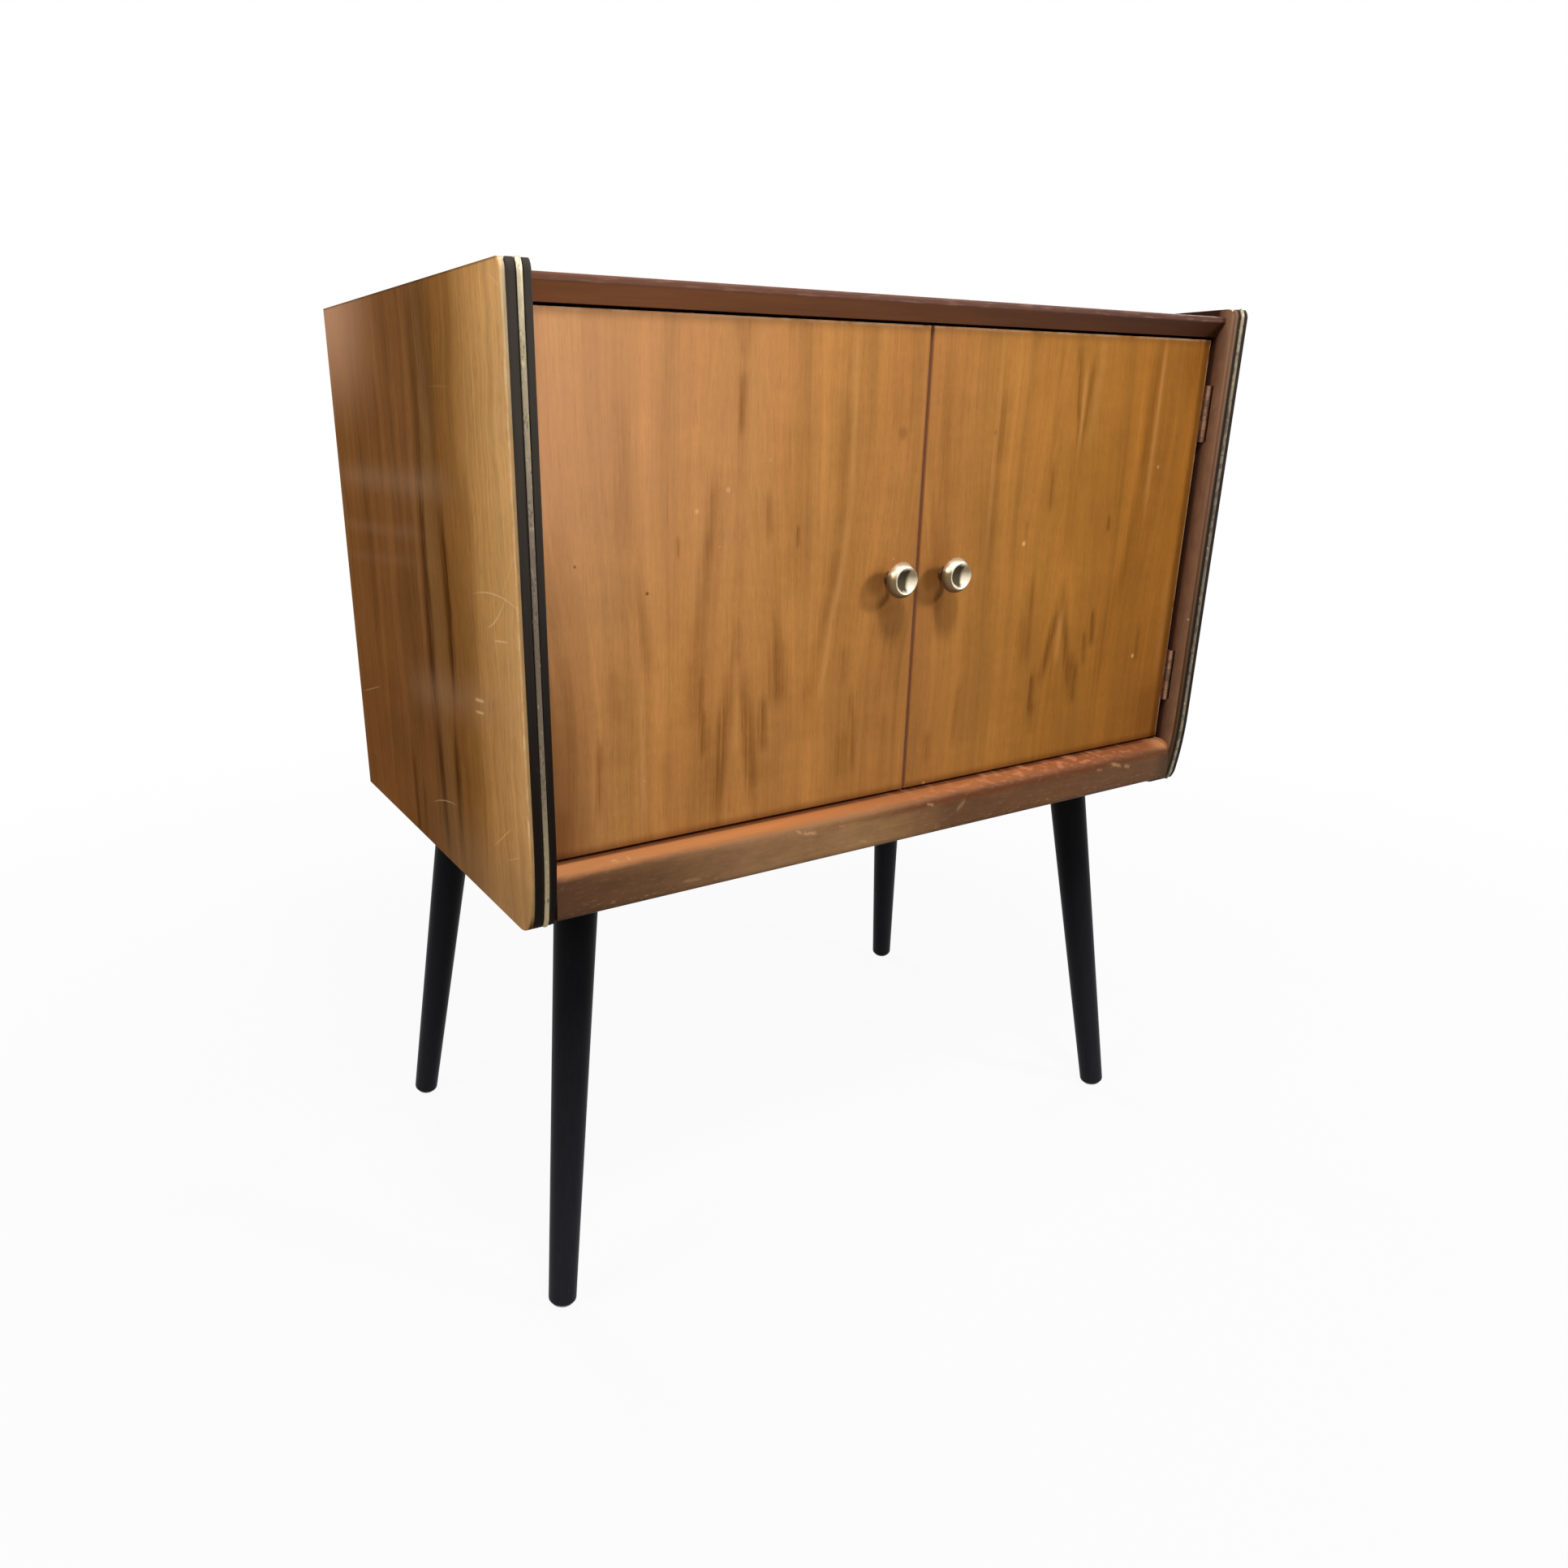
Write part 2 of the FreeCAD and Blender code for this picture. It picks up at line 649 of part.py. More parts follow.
def dowel_holes(panel, places):
    """Holes in both ends of a member that spans the cabinet."""
    depth = "dowel_length - dowel_in_side + joint_clearance"
    for end, toward in ((INNER, -1), (f"-{INNER}", 1)):
        drill = panel.circles("YZ_Plane", end, places, DOWEL_HOLE)
        panel.pocket(drill, depth, toward)


def divider_grooves(panel, face, toward):
    """Grooves for the record dividers, open at the back."""
    half = "(divider_thickness / 2 + groove_clearance)"
    depth = (f"{FRONT} + divider_setback - groove_clearance", BACK_PANEL_FRONT)
    middle = f"({DIVIDER_X} + divider_thickness / 2)"
    grooves = [
        box((f"{side} * {middle} - {half}", f"{side} * {middle} + {half}"), depth, None)
        for side in (-1, 1)
    ]
    panel.pocket(panel.draw("XY_Plane", face, *grooves), "groove_depth + groove_clearance", toward)


def top_panel():
    panel = Piece("top_panel")
    outline = box((f"-{INNER}", INNER), (TOP_RAIL_BACK, BACK_PANEL_FRONT), None)
    panel.pad(panel.draw("XY_Plane", TOP_UNDERSIDE, outline), "top_thickness")
    divider_grooves(panel, TOP_UNDERSIDE, 1)
    dowel_holes(panel, DOWELS["top_panel"])
    panel.pocket(panel.circles("XZ_Plane", BACK_PANEL_FRONT, TOP_PINS, PIN_HOLE), PIN_DEPTH, -1)
    screws = [(f"{side} * {x}", y) for side in (-1, 1) for x, y, z in CATCH_SCREWS]
    drill = panel.circles("XY_Plane", TOP_UNDERSIDE, screws, "small_screw_radius")
    panel.pocket(drill, "small_screw_length - catch_flange_thickness + joint_clearance")


def bottom_panel():
    panel = Piece("bottom_panel")
    outline = box((f"-{INNER}", INNER), (BOTTOM_RAIL_BACK, BACK_PANEL_FRONT), None)
    panel.pad(panel.draw("XY_Plane", BOTTOM_UNDERSIDE, outline), "bottom_thickness")
    divider_grooves(panel, BOTTOM_FACE, -1)
    dowel_holes(panel, DOWELS["bottom_panel"])
    panel.pocket(panel.circles("XZ_Plane", BACK_PANEL_FRONT, BOTTOM_PINS, PIN_HOLE), PIN_DEPTH, -1)
    screws = []
    for _, side_sign, depth_sign in leg_corners():
        screws += plate_screw_places(*at_corner(side_sign, depth_sign, PLATE_X, PLATE_Y))
    drill = panel.circles("XY_Plane", BOTTOM_UNDERSIDE, screws, "plate_screw_radius")
    panel.pocket(drill, "plate_screw_length - plate_thickness + joint_clearance")


def back_panel():
    panel = Piece("back_panel")
    reach = f"({INNER} + rebate_width - back_edge_gap)"
    outline = box((f"-{reach}", reach), None, (BOTTOM_UNDERSIDE, f"{TOP_FACE} - back_edge_gap"))
    panel.pad(panel.draw("XZ_Plane", BACK_PANEL_FRONT, outline), "back_thickness")
    pins = TOP_PINS + BOTTOM_PINS + SIDE_PINS + [(f"-{x}", z) for x, z in SIDE_PINS]
    drill = panel.circles("XZ_Plane", BACK_PANEL_FRONT, pins, PIN_HOLE)
    panel.pocket(drill, "back_thickness")
    outer = f"{BACK_PANEL_FRONT} + back_thickness"
    nail = raised_screw(value("pin_nail_radius"), value("pin_nail_head_radius"),
                        value("pin_nail_head_height"), value("pin_nail_length"))
    group("back_panel_pins", copies(nail, [(x, outer, z) for x, z in pins], (0, -1, 0)))


def top_rail():
    """Rail over the doors: a narrow upright nose, then a face bevelled back to the doors."""
    rail = Piece("top_rail")
    nose_end = f"{TOP_FACE} - top_rail_nose"
    corners = [
        (TOP_RAIL_FRONT, TOP_FACE),
        (TOP_RAIL_FRONT, nose_end),
        (DOOR_FRONT, TOP_UNDERSIDE),
        (TOP_RAIL_BACK, TOP_UNDERSIDE),
        (TOP_RAIL_BACK, TOP_FACE),
    ]
    rail.pad(rail.draw("YZ_Plane", f"-{INNER}", corners), f"2 * {INNER}")
    rail.round("top_rail_nose_radius", {"y": TOP_RAIL_FRONT, "z": TOP_FACE},
               {"y": TOP_RAIL_FRONT, "z": nose_end})
    dowel_holes(rail, DOWELS["top_rail"])


def bottom_rail():
    """Rail under the doors, with a rounded nose."""
    rail = Piece("bottom_rail")
    corners = box(None, (BOTTOM_RAIL_FRONT, BOTTOM_RAIL_BACK), (BOTTOM_RAIL_UNDERSIDE, BOTTOM_FACE))
    rail.pad(rail.draw("YZ_Plane", f"-{INNER}", corners), f"2 * {INNER}")
    rail.round("bottom_rail_nose_radius", {"y": BOTTOM_RAIL_FRONT, "z": BOTTOM_FACE})
    rail.round("bottom_rail_arris_radius", {"y": BOTTOM_RAIL_FRONT, "z": BOTTOM_RAIL_UNDERSIDE})
    dowel_holes(rail, DOWELS["bottom_rail"])


def dividers():
    divider = Piece("right_divider")
    outline = box(
        None,
        (f"{FRONT} + divider_setback", BACK_PANEL_FRONT),
        (f"{BOTTOM_FACE} - groove_depth", f"{TOP_UNDERSIDE} + groove_depth"),
    )
    divider.pad(divider.draw("YZ_Plane", DIVIDER_X, outline), "divider_thickness")
    left_of(divider)


def dowels_and_blocks():
    dowel = Part.makeCylinder(value("dowel_radius"), value("dowel_length"))
    start = f"{INNER} + dowel_in_side - dowel_length"
    right = [(start, y, z) for y, z in DOWEL_PLACES]
    left = [(f"-({INNER} + dowel_in_side)", y, z) for y, z in DOWEL_PLACES]
    group("carcass_dowels", copies(dowel, right + left, (1, 0, 0)))

    leg = value("glue_block_leg")
    inner, under = value(INNER), value(BOTTOM_UNDERSIDE)
    blocks = []
    for side in (-1, 1):
        for step in (-1, 1):
            middle = value(f"{PANEL_MIDDLE} + {step} * glue_block_pitch / 2")
            start = middle - value("glue_block_length") / 2
            corners = [
                Vector(side * inner, start, under),
                Vector(side * (inner - leg), start, under),
                Vector(side * inner, start, under - leg),
            ]
            face = Part.Face(Part.makePolygon(corners + corners[:1]))
            blocks.append(face.extrude(Vector(0, value("glue_block_length"), 0)))
    group("glue_blocks", blocks)


# ---------------------------------------------------------------- doors, knobs and hinges
def door():
    panel = Piece("right_door")
    outline = box((DOOR_INNER, DOOR_OUTER), None, (DOOR_BOTTOM, DOOR_TOP))
    panel.pad(panel.draw("XZ_Plane", DOOR_FRONT, outline), "door_thickness")
    panel.round("arris_radius", {"y": DOOR_FRONT})

    half = "(hinge_length / 2 + leaf_recess_clearance)"
    depth = (HINGE_Y, f"{HINGE_Y} + leaf_width + leaf_recess_clearance")
    recesses = [box(None, depth, (f"{z} - {half}", f"{z} + {half}")) for z in HINGE_LEVELS.values()]
    panel.pocket(panel.draw("YZ_Plane", DOOR_OUTER, *recesses), LEAF_RECESS, -1)
    for level in HINGE_LEVELS.values():
        barrel = panel.circles("XY_Plane", level, [(HINGE_X, HINGE_Y)], "barrel_recess_radius")
        panel.pocket(barrel, f"2 * {half}", 0)
    screws = [place for level in HINGE_LEVELS for place in leaf_screw_places(level)]
    drill = panel.circles("YZ_Plane", DOOR_OUTER, screws, "leaf_screw_radius")
    panel.pocket(drill, "leaf_screw_length + joint_clearance", -1)

    drill = panel.circles("XZ_Plane", DOOR_FRONT, [(KNOB_X, KNOB_Z)], "knob_screw_radius")
    panel.pocket(drill, "door_thickness")
    drill = panel.circles("XZ_Plane", DOOR_BACK, [("catch_from_centre", MAGNET_Z)],
                          "small_screw_radius")
    panel.pocket(drill, "small_screw_length - strike_thickness + joint_clearance", -1)
    left_of(panel)


def knob():
    """Round pull with a dished face, on a narrow neck, and the screw that holds it."""
    pull = Piece("right_knob")
    rim = "(knob_length - 1.6)"
    dish = "(knob_length - knob_dish_depth)"
    pull.revolve([
        ("knob_screw_radius", "0"),
        ("knob_base_radius", "0"),
        ("knob_base_radius", "1.2"),
        ("knob_neck_radius", "2.4"),
        ("knob_neck_radius", "knob_length * 0.3"),
        ("knob_radius - 2.2", "knob_length * 0.66"),
        ("knob_radius", f"{rim} - 2"),
        ("knob_radius", rim),
        ("knob_dish_radius + 0.7", "knob_length"),
        ("knob_dish_radius", "knob_length"),
        ("knob_dish_radius * 0.45", dish),
        ("0", dish),
        ("0", "knob_thread_depth"),
        ("knob_screw_radius", "knob_thread_depth"),
    ])
    upright = "rotation(vector(1; 0; 0); 90)"
    pull.place((KNOB_X, DOOR_FRONT, KNOB_Z), upright)
    left_of(pull)

    screw = Piece("right_knob_screw")
    shank = "knob_screw_radius - joint_clearance"
    screw.revolve([
        ("0", "-knob_screw_head_height"),
        ("knob_screw_head_radius - 1", "-knob_screw_head_height"),
        ("knob_screw_head_radius", "-knob_screw_head_height + 1"),
        ("knob_screw_head_radius", "0"),
        (shank, "0"),
        (shank, "door_thickness + knob_thread_depth - joint_clearance"),
        ("0", "door_thickness + knob_thread_depth - joint_clearance"),
    ])
    screw.place((KNOB_X, DOOR_BACK, KNOB_Z), upright)
    left_of(screw)


def hinge_leaf(label, level, side, own_knuckles, other_knuckles):
    """A hinge leaf about its own pin axis. Side +1 is let into the frame, -1 into the door."""
    leaf = Piece(label)
    thick = (f"{side} * {LEAF_FACE}", f"{side} * {LEAF_BACK}")
    plate = box(thick, ("0", "leaf_width"), None)
    bottom = "(-hinge_length / 2)"
    leaf.pad(leaf.draw("XY_Plane", bottom, plate), "hinge_length")
    leaf.pad(leaf.circles("XY_Plane", bottom, [("0", "0")], "knuckle_radius"), "hinge_length")
    for knuckle in other_knuckles:
        start = f"{bottom} + {knuckle} * {KNUCKLE}"
        gap = leaf.circles("XY_Plane", start, [("0", "0")], SWEPT_RADIUS)
        leaf.pocket(gap, KNUCKLE)
    for knuckle in own_knuckles:
        if side < 0:
            for end in (knuckle, knuckle + 1):
                middle = f"{bottom} + {end} * {KNUCKLE}"
                trim = leaf.circles("XY_Plane", middle, [("0", "0")], SWEPT_RADIUS)
                leaf.pocket(trim, "knuckle_clearance * 2", 0)
    bore = leaf.circles("XY_Plane", bottom, [("0", "0")], "hinge_pin_radius + hinge_pin_clearance")
    leaf.pocket(bore, "hinge_length")
    heads = [("leaf_screw_row", f"{step} * leaf_screw_pitch") for step in (-1, 0, 1)]
    head_depth = "(leaf_screw_head_radius - leaf_screw_radius)"
    drill = leaf.circles("YZ_Plane", f"{side} * {LEAF_FACE}", heads, "leaf_screw_radius")
    leaf.pocket(drill, "leaf_thickness", side)
    leaf.sink(f"{side} * {LEAF_FACE}", heads, "(leaf_screw_head_radius + joint_clearance)",
              head_depth, side)
    leaf.place((HINGE_X, HINGE_Y, level))
    left_of(leaf)


def hinges():
    for name, level in HINGE_LEVELS.items():
        hinge_leaf(f"right_{name}_hinge_frame_leaf", level, 1, (0, 2, 4), (1, 3))
        hinge_leaf(f"right_{name}_hinge_door_leaf", level, -1, (1, 3), (0, 2, 4))
    pin = Part.makeCylinder(value("hinge_pin_radius"), value("hinge_length"))
    pins = [(HINGE_X, HINGE_Y, f"{level} - hinge_length / 2") for level in HINGE_LEVELS.values()]
    group("hinge_pins", copies(pin, mirrored(pins), (0, 0, 1)))

    screw = flush_screw(value("leaf_screw_radius"), value("leaf_screw_head_radius"),
                        value("leaf_screw_length"))
    frame_face = f"({HINGE_X} + {LEAF_FACE})"
    door_face = f"({HINGE_X} - {LEAF_FACE})"
    heads = [place for level in HINGE_LEVELS for place in leaf_screw_places(level)]
    frame_right = copies(screw, [(frame_face, y, z) for y, z in heads], (1, 0, 0))
    frame_left = copies(screw, [(f"-{frame_face}", y, z) for y, z in heads], (-1, 0, 0))
    group("frame_leaf_screws", frame_right + frame_left)
    group("right_door_leaf_screws",
          copies(screw, [(door_face, y, z) for y, z in heads], (-1, 0, 0)))
    group("left_door_leaf_screws",
          copies(screw, [(f"-{door_face}", y, z) for y, z in heads], (1, 0, 0)))


# ---------------------------------------------------------------- catches
CATCH_SCREW_Y = f"({CATCH_FRONT} + catch_depth / 2)"
CATCH_SCREWS = [
    (f"(catch_from_centre + {step} * catch_screw_pitch / 2)", CATCH_SCREW_Y,
     f"{TOP_UNDERSIDE} - catch_flange_thickness")
    for step in (-1, 1)
]


def catches():
    """Magnetic catch under the top panel for each door, and its strike on the door."""
    case = Piece("right_catch_case")
    depth = (CATCH_FRONT, f"{CATCH_FRONT} + catch_depth")

    def about_centre(length):
        return (f"catch_from_centre - {length} / 2", f"catch_from_centre + {length} / 2")

    flange = box(about_centre("catch_flange_length"), depth, None)
    block = box(about_centre("catch_block_length"), depth, None)
    case.pad(case.draw("XY_Plane", TOP_UNDERSIDE, flange), "catch_flange_thickness", -1)
    case.pad(case.draw("XY_Plane", TOP_UNDERSIDE, block), "catch_height + catch_flange_thickness", -1)
    half_pack = f"({MAGNET_PACK} / 2 + joint_clearance)"
    hollow = box(about_centre(f"({MAGNET_LENGTH} + 2 * joint_clearance)"), None,
                 (f"{MAGNET_Z} - {half_pack}", f"{MAGNET_Z} + {half_pack}"))
    case.pocket(case.draw("XZ_Plane", CATCH_FRONT, hollow), "catch_depth - catch_wall")
    drill = case.circles("XY_Plane", TOP_UNDERSIDE, [(x, y) for x, y, z in CATCH_SCREWS],
                         "small_screw_radius")
    case.pocket(drill, "catch_flange_thickness", -1)
    left_of(case)

    length = value(MAGNET_LENGTH)
    back = value(f"{CATCH_FRONT} + catch_depth - catch_wall - joint_clearance")
    magnet_front = value(f"{CATCH_FRONT} + 1")
    magnets, plates = [], []
    plate_thick = value("pole_plate_thickness")
    for side in (1, -1):
        left_end = side * value("catch_from_centre") - length / 2
        middle = value(MAGNET_Z)
        half = value("magnet_thickness") / 2
        magnets.append(Part.makeBox(length, back - magnet_front, 2 * half,
                                    Vector(left_end, magnet_front, middle - half)))
        for low in (middle - half - plate_thick, middle + half):
            plates.append(Part.makeBox(length, back - value(POLE_FACE), plate_thick,
                                       Vector(left_end, value(POLE_FACE), low)))
    group("catch_magnets", magnets)
    group("catch_pole_plates", plates)
    wood_screw = raised_screw(value("small_screw_radius"), value("small_screw_head_radius"), 1.6,
                              value("small_screw_length"))
    group("catch_screws", copies(wood_screw, mirrored(CATCH_SCREWS), (0, 0, 1)))

    strike = Piece("right_strike_plate")
    plate = box(about_centre("strike_length"), None,
                (f"{MAGNET_Z} - strike_height / 2", f"{MAGNET_Z} + strike_height / 2"))
    strike.pad(strike.draw("XZ_Plane", DOOR_BACK, plate), "strike_thickness")
    centre = [("catch_from_centre", MAGNET_Z)]
    wide = strike.circles("XZ_Plane", DOOR_BACK, centre,
                          "small_screw_head_radius + joint_clearance")
    strike.pocket(wide, "strike_thickness")
    left_of(strike)

    screw = Piece("right_strike_screw")
    head = "small_screw_head_radius"
    shank = "small_screw_radius - joint_clearance"
    screw.revolve([
        ("0", "0"),
        (head, "0"),
        (head, "strike_thickness"),
        (shank, "strike_thickness"),
        (shank, "small_screw_length"),
        ("0", "small_screw_length"),
    ])
    screw.place(("catch_from_centre", f"{DOOR_BACK} + strike_thickness", MAGNET_Z),
                "rotation(vector(1; 0; 0); 90)")
    left_of(screw)


# ---------------------------------------------------------------- legs
def leg_frame(side_sign, depth_sign):
    """Position and rotation, as expressions, of a leg about the centre of its foot's dome."""
    x, y = at_corner(side_sign, depth_sign, FOOT_X, FOOT_Y)
    axis = f"vector({depth_sign} * tan(leg_splay_front); {-side_sign} * tan(leg_splay_side); 0)"
    return (x, y, "glide_dome_radius"), f"rotation({axis}; {LEG_TILT})"


def leg_placement(side_sign, depth_sign):
    """The same place as a Placement."""
    (x, y, z), _ = leg_frame(side_sign, depth_sign)
    axis = Vector(depth_sign * value("tan(leg_splay_front)"),
                  -side_sign * value("tan(leg_splay_side)"), 0)
    return Placement(Vector(value(x), value(y), value(z)), Rotation(axis, value(LEG_TILT)))


def leg(name, side_sign, depth_sign):
    """Tapered leg with a rounded foot, bored for its glide below and its bolt above."""
    post = Piece(f"{name}_leg")
    foot = f"(-{GLIDE_FLAT})"
    nail = "glide_nail_radius + joint_clearance"
    nail_end = f"{foot} + glide_nail_length + joint_clearance"
    bolt_end = f"{LEG_TOP} - bolt_in_leg - joint_clearance"
    post.revolve([
        (nail, foot),
        ("leg_foot_radius", foot),
        ("leg_top_radius", LEG_TOP),
        ("bolt_radius", LEG_TOP),
        ("bolt_radius", bolt_end),
        ("0", bolt_end),
        ("0", nail_end),
        (nail, nail_end),
    ])
    post.round("leg_foot_rounding", {"x": "leg_foot_radius", "z": foot})
    post.place(*leg_frame(side_sign, depth_sign))


def leg_plate(name, side_sign, depth_sign):
    """Square plate screwed under the bottom panel, with a threaded boss along the leg."""
    x, y = at_corner(side_sign, depth_sign, PLATE_X, PLATE_Y)
    position, rotation = leg_frame(side_sign, depth_sign)

    def part(kind, label, **properties):
        thing = doc.addObject(f"Part::{kind}", f"{name}_{label}")
        for prop, expression in properties.items():
            thing.setExpression(prop, bind(expression))
        return thing

    def along_leg(thing, start):
        """Stand a cylinder on the leg's axis, starting a distance up from the foot's dome."""
        axis = f"placement(vector({'; '.join(position)}); {rotation})"
        up = f"placement(vector(0; 0; {start}); rotation(vector(0; 0; 1); 0))"
        thing.setExpression("Placement", bind(f"{axis} * {up}"))

    flat = part("Box", "flat", Length="plate_size", Width="plate_size", Height="plate_thickness")
    room = part("Box", "boss_room", Length="plate_size", Width="plate_size",
                Height="boss_length + plate_size / 2")
    for thing, height in ((flat, "plate_thickness"), (room, "(boss_length + plate_size / 2)")):
        thing.setExpression(".Placement.Base.x", bind(f"{x} - plate_size / 2"))
        thing.setExpression(".Placement.Base.y", bind(f"{y} - plate_size / 2"))
        thing.setExpression(".Placement.Base.z", bind(f"{BOTTOM_UNDERSIDE} - {height}"))
    reach = "boss_length + 2 * plate_thickness"
    boss = part("Cylinder", "boss", Radius="boss_radius", Height=reach)
    along_leg(boss, LEG_TOP)
    thread = part("Cylinder", "thread", Radius="bolt_radius", Height=f"{reach} + 2 * plate_thickness")
    along_leg(thread, f"{LEG_TOP} - plate_thickness")
    cutters = [thread]
    for number, (hole_x, hole_y) in enumerate(plate_screw_places(x, y)):
        hole = part("Cylinder", f"hole_{number}", Radius="plate_screw_radius",
                    Height="3 * plate_thickness")
        hole.setExpression(".Placement.Base.x", bind(hole_x))
        hole.setExpression(".Placement.Base.y", bind(hole_y))
        hole.setExpression(".Placement.Base.z", bind(f"{BOTTOM_UNDERSIDE} - 2 * plate_thickness"))
        cutters.append(hole)
    trimmed = doc.addObject("Part::Common", f"{name}_boss_trimmed")
    trimmed.Base, trimmed.Tool = boss, room
    solid = doc.addObject("Part::Fuse", f"{name}_plate_solid")
    solid.Base, solid.Tool = flat, trimmed
    tools = doc.addObject("Part::Compound", f"{name}_plate_cutters")
    tools.Links = cutters
    plate = doc.addObject("Part::Cut", f"{name}_leg_plate")
    plate.Base, plate.Tool = solid, tools
    keep(plate, f"{name}_leg_plate")


def leg_fittings():
    """Glides, hanger bolts and plate screws, each kind in one node."""
    dome_radius, radius = value("glide_dome_radius"), value("glide_radius")
    rim, flat = value("glide_rim"), value(GLIDE_FLAT)
    dome = Part.makeSphere(dome_radius).common(
        Part.makeCylinder(radius, dome_radius, Vector(0, 0, -dome_radius - flat - rim)))
    collar = Part.makeCylinder(radius, rim, Vector(0, 0, -flat - rim))
    nail = Part.makeCylinder(value("glide_nail_radius"), value("glide_nail_length"),
                             Vector(0, 0, -flat))
    glide = dome.fuse([collar, nail]).removeSplitter()

    bolt_radius = value("bolt_radius - joint_clearance")
    top = value(LEG_TOP)
    bolt_top = value("boss_length + plate_thickness * 0.4")
    bolt = Part.makeCylinder(bolt_radius, value("bolt_in_leg") + bolt_top,
                             Vector(0, 0, top - value("bolt_in_leg")))

    glides, bolts, screw_places = [], [], []
    for _, side_sign, depth_sign in leg_corners():
        placement = leg_placement(side_sign, depth_sign)
        for shape, kept in ((glide, glides), (bolt, bolts)):
            copy = shape.copy()
            copy.Placement = placement
            kept.append(copy)
        corner = at_corner(side_sign, depth_sign, PLATE_X, PLATE_Y)
        screw_places += [(x, y, PLATE_UNDERSIDE) for x, y in plate_screw_places(*corner)]
    group("foot_glides", glides)
    group("hanger_bolts", bolts)
    screw = raised_screw(value("plate_screw_radius"), value("plate_screw_head_radius"), 2,
                         value("plate_screw_length"))
    group("leg_plate_screws", copies(screw, screw_places, (0, 0, 1)))


# ---------------------------------------------------------------- assembly
side_panel()
edging()
top_panel()
bottom_panel()
back_panel()
top_rail()
bottom_rail()
dividers()
dowels_and_blocks()
door()
knob()
hinges()
catches()
for corner in leg_corners():
    leg(*corner)
    leg_plate(*corner)
leg_fittings()
doc.recompute()


def check_model():
    """Stop if an object failed, a cut removed nothing or a sub-part isn't sound."""
    for thing in doc.Objects:
        if "Invalid" in thing.State or "Error" in thing.State:
            raise RuntimeError(f"{thing.Name} failed: {thing.State}")
        if thing.TypeId in ("PartDesign::Pocket", "PartDesign::SubtractiveCone"):
            if thing.Shape.Volume > thing.BaseFeature.Shape.Volume - 1e-3:
                raise RuntimeError(f"{thing.Name} cuts nothing")
    for node in nodes:
        shape = node.Shape
        if shape.isNull() or not shape.isValid() or not shape.Solids:
            raise RuntimeError(f"{node.Label} is not a sound solid")


check_model()
for node in nodes:
    node.Shape.exportStep(f"parts/{node.Label}.step")
print(len(nodes), "sub-parts,", sum(len(node.Shape.Solids) for node in nodes), "solids")
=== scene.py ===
"""Record cabinet: finishes, turned pulls, studio and camera around the fixed frame.

Metres, +Z up, +X to the right seen from the front, +Y to the back. Patterns are laid out in
millimetres from the same origin, on the floor under the middle of the cabinet.
"""
import json
import math

import bpy
from mathutils import Matrix, Vector

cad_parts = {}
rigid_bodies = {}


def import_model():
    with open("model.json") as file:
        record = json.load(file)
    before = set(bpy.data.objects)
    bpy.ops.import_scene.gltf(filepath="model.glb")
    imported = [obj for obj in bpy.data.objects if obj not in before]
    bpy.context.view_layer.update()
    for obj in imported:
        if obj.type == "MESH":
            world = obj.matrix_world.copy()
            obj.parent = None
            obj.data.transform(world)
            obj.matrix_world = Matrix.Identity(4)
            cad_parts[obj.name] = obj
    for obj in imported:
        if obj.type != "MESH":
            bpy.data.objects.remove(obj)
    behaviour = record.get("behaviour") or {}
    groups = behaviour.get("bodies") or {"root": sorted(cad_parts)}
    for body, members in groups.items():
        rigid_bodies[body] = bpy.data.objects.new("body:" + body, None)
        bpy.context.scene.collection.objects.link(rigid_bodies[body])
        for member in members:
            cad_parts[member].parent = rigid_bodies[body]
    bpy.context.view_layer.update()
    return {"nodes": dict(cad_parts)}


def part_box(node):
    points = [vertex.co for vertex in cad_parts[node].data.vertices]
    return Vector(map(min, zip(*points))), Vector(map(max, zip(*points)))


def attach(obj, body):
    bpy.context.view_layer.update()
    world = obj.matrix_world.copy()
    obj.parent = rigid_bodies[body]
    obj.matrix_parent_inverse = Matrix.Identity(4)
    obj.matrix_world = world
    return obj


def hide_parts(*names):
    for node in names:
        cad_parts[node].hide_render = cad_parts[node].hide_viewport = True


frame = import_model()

nodes = frame["nodes"]
scene = bpy.context.scene
MM = 0.001


# ---------------------------------------------------------------- shader building
def paint(red, green, blue):
    """A linear colour from the red, green and blue of a paint chart, 0 to 255."""
    def linear(level):
        # The standard curve between screen levels and light.
        level /= 255
        return level / 12.92 if level <= 0.04045 else ((level + 0.055) / 1.055) ** 2.4
    return (linear(red), linear(green), linear(blue), 1)


class Wire:
    """An output of a node. Sums and products of wires and numbers add Math nodes."""

    def __init__(self, shading, socket):
        self.shading = shading
        self.socket = socket

    def math(self, operation, *values):
        """Add one Math node."""
        return self.shading.node("ShaderNodeMath", {"operation": operation}, values)

    def __add__(self, other):
        return self.math("ADD", self, other)

    __radd__ = __add__

    def __sub__(self, other):
        return self.math("SUBTRACT", self, other)

    def __rsub__(self, other):
        return self.math("SUBTRACT", other, self)

    def __mul__(self, other):
        return self.math("MULTIPLY", self, other)

    __rmul__ = __mul__

    def __truediv__(self, other):
        return self.math("DIVIDE", self, other)

    def __pow__(self, other):
        return self.math("POWER", self, other)

    def __abs__(self):
        return self.math("ABSOLUTE", self)


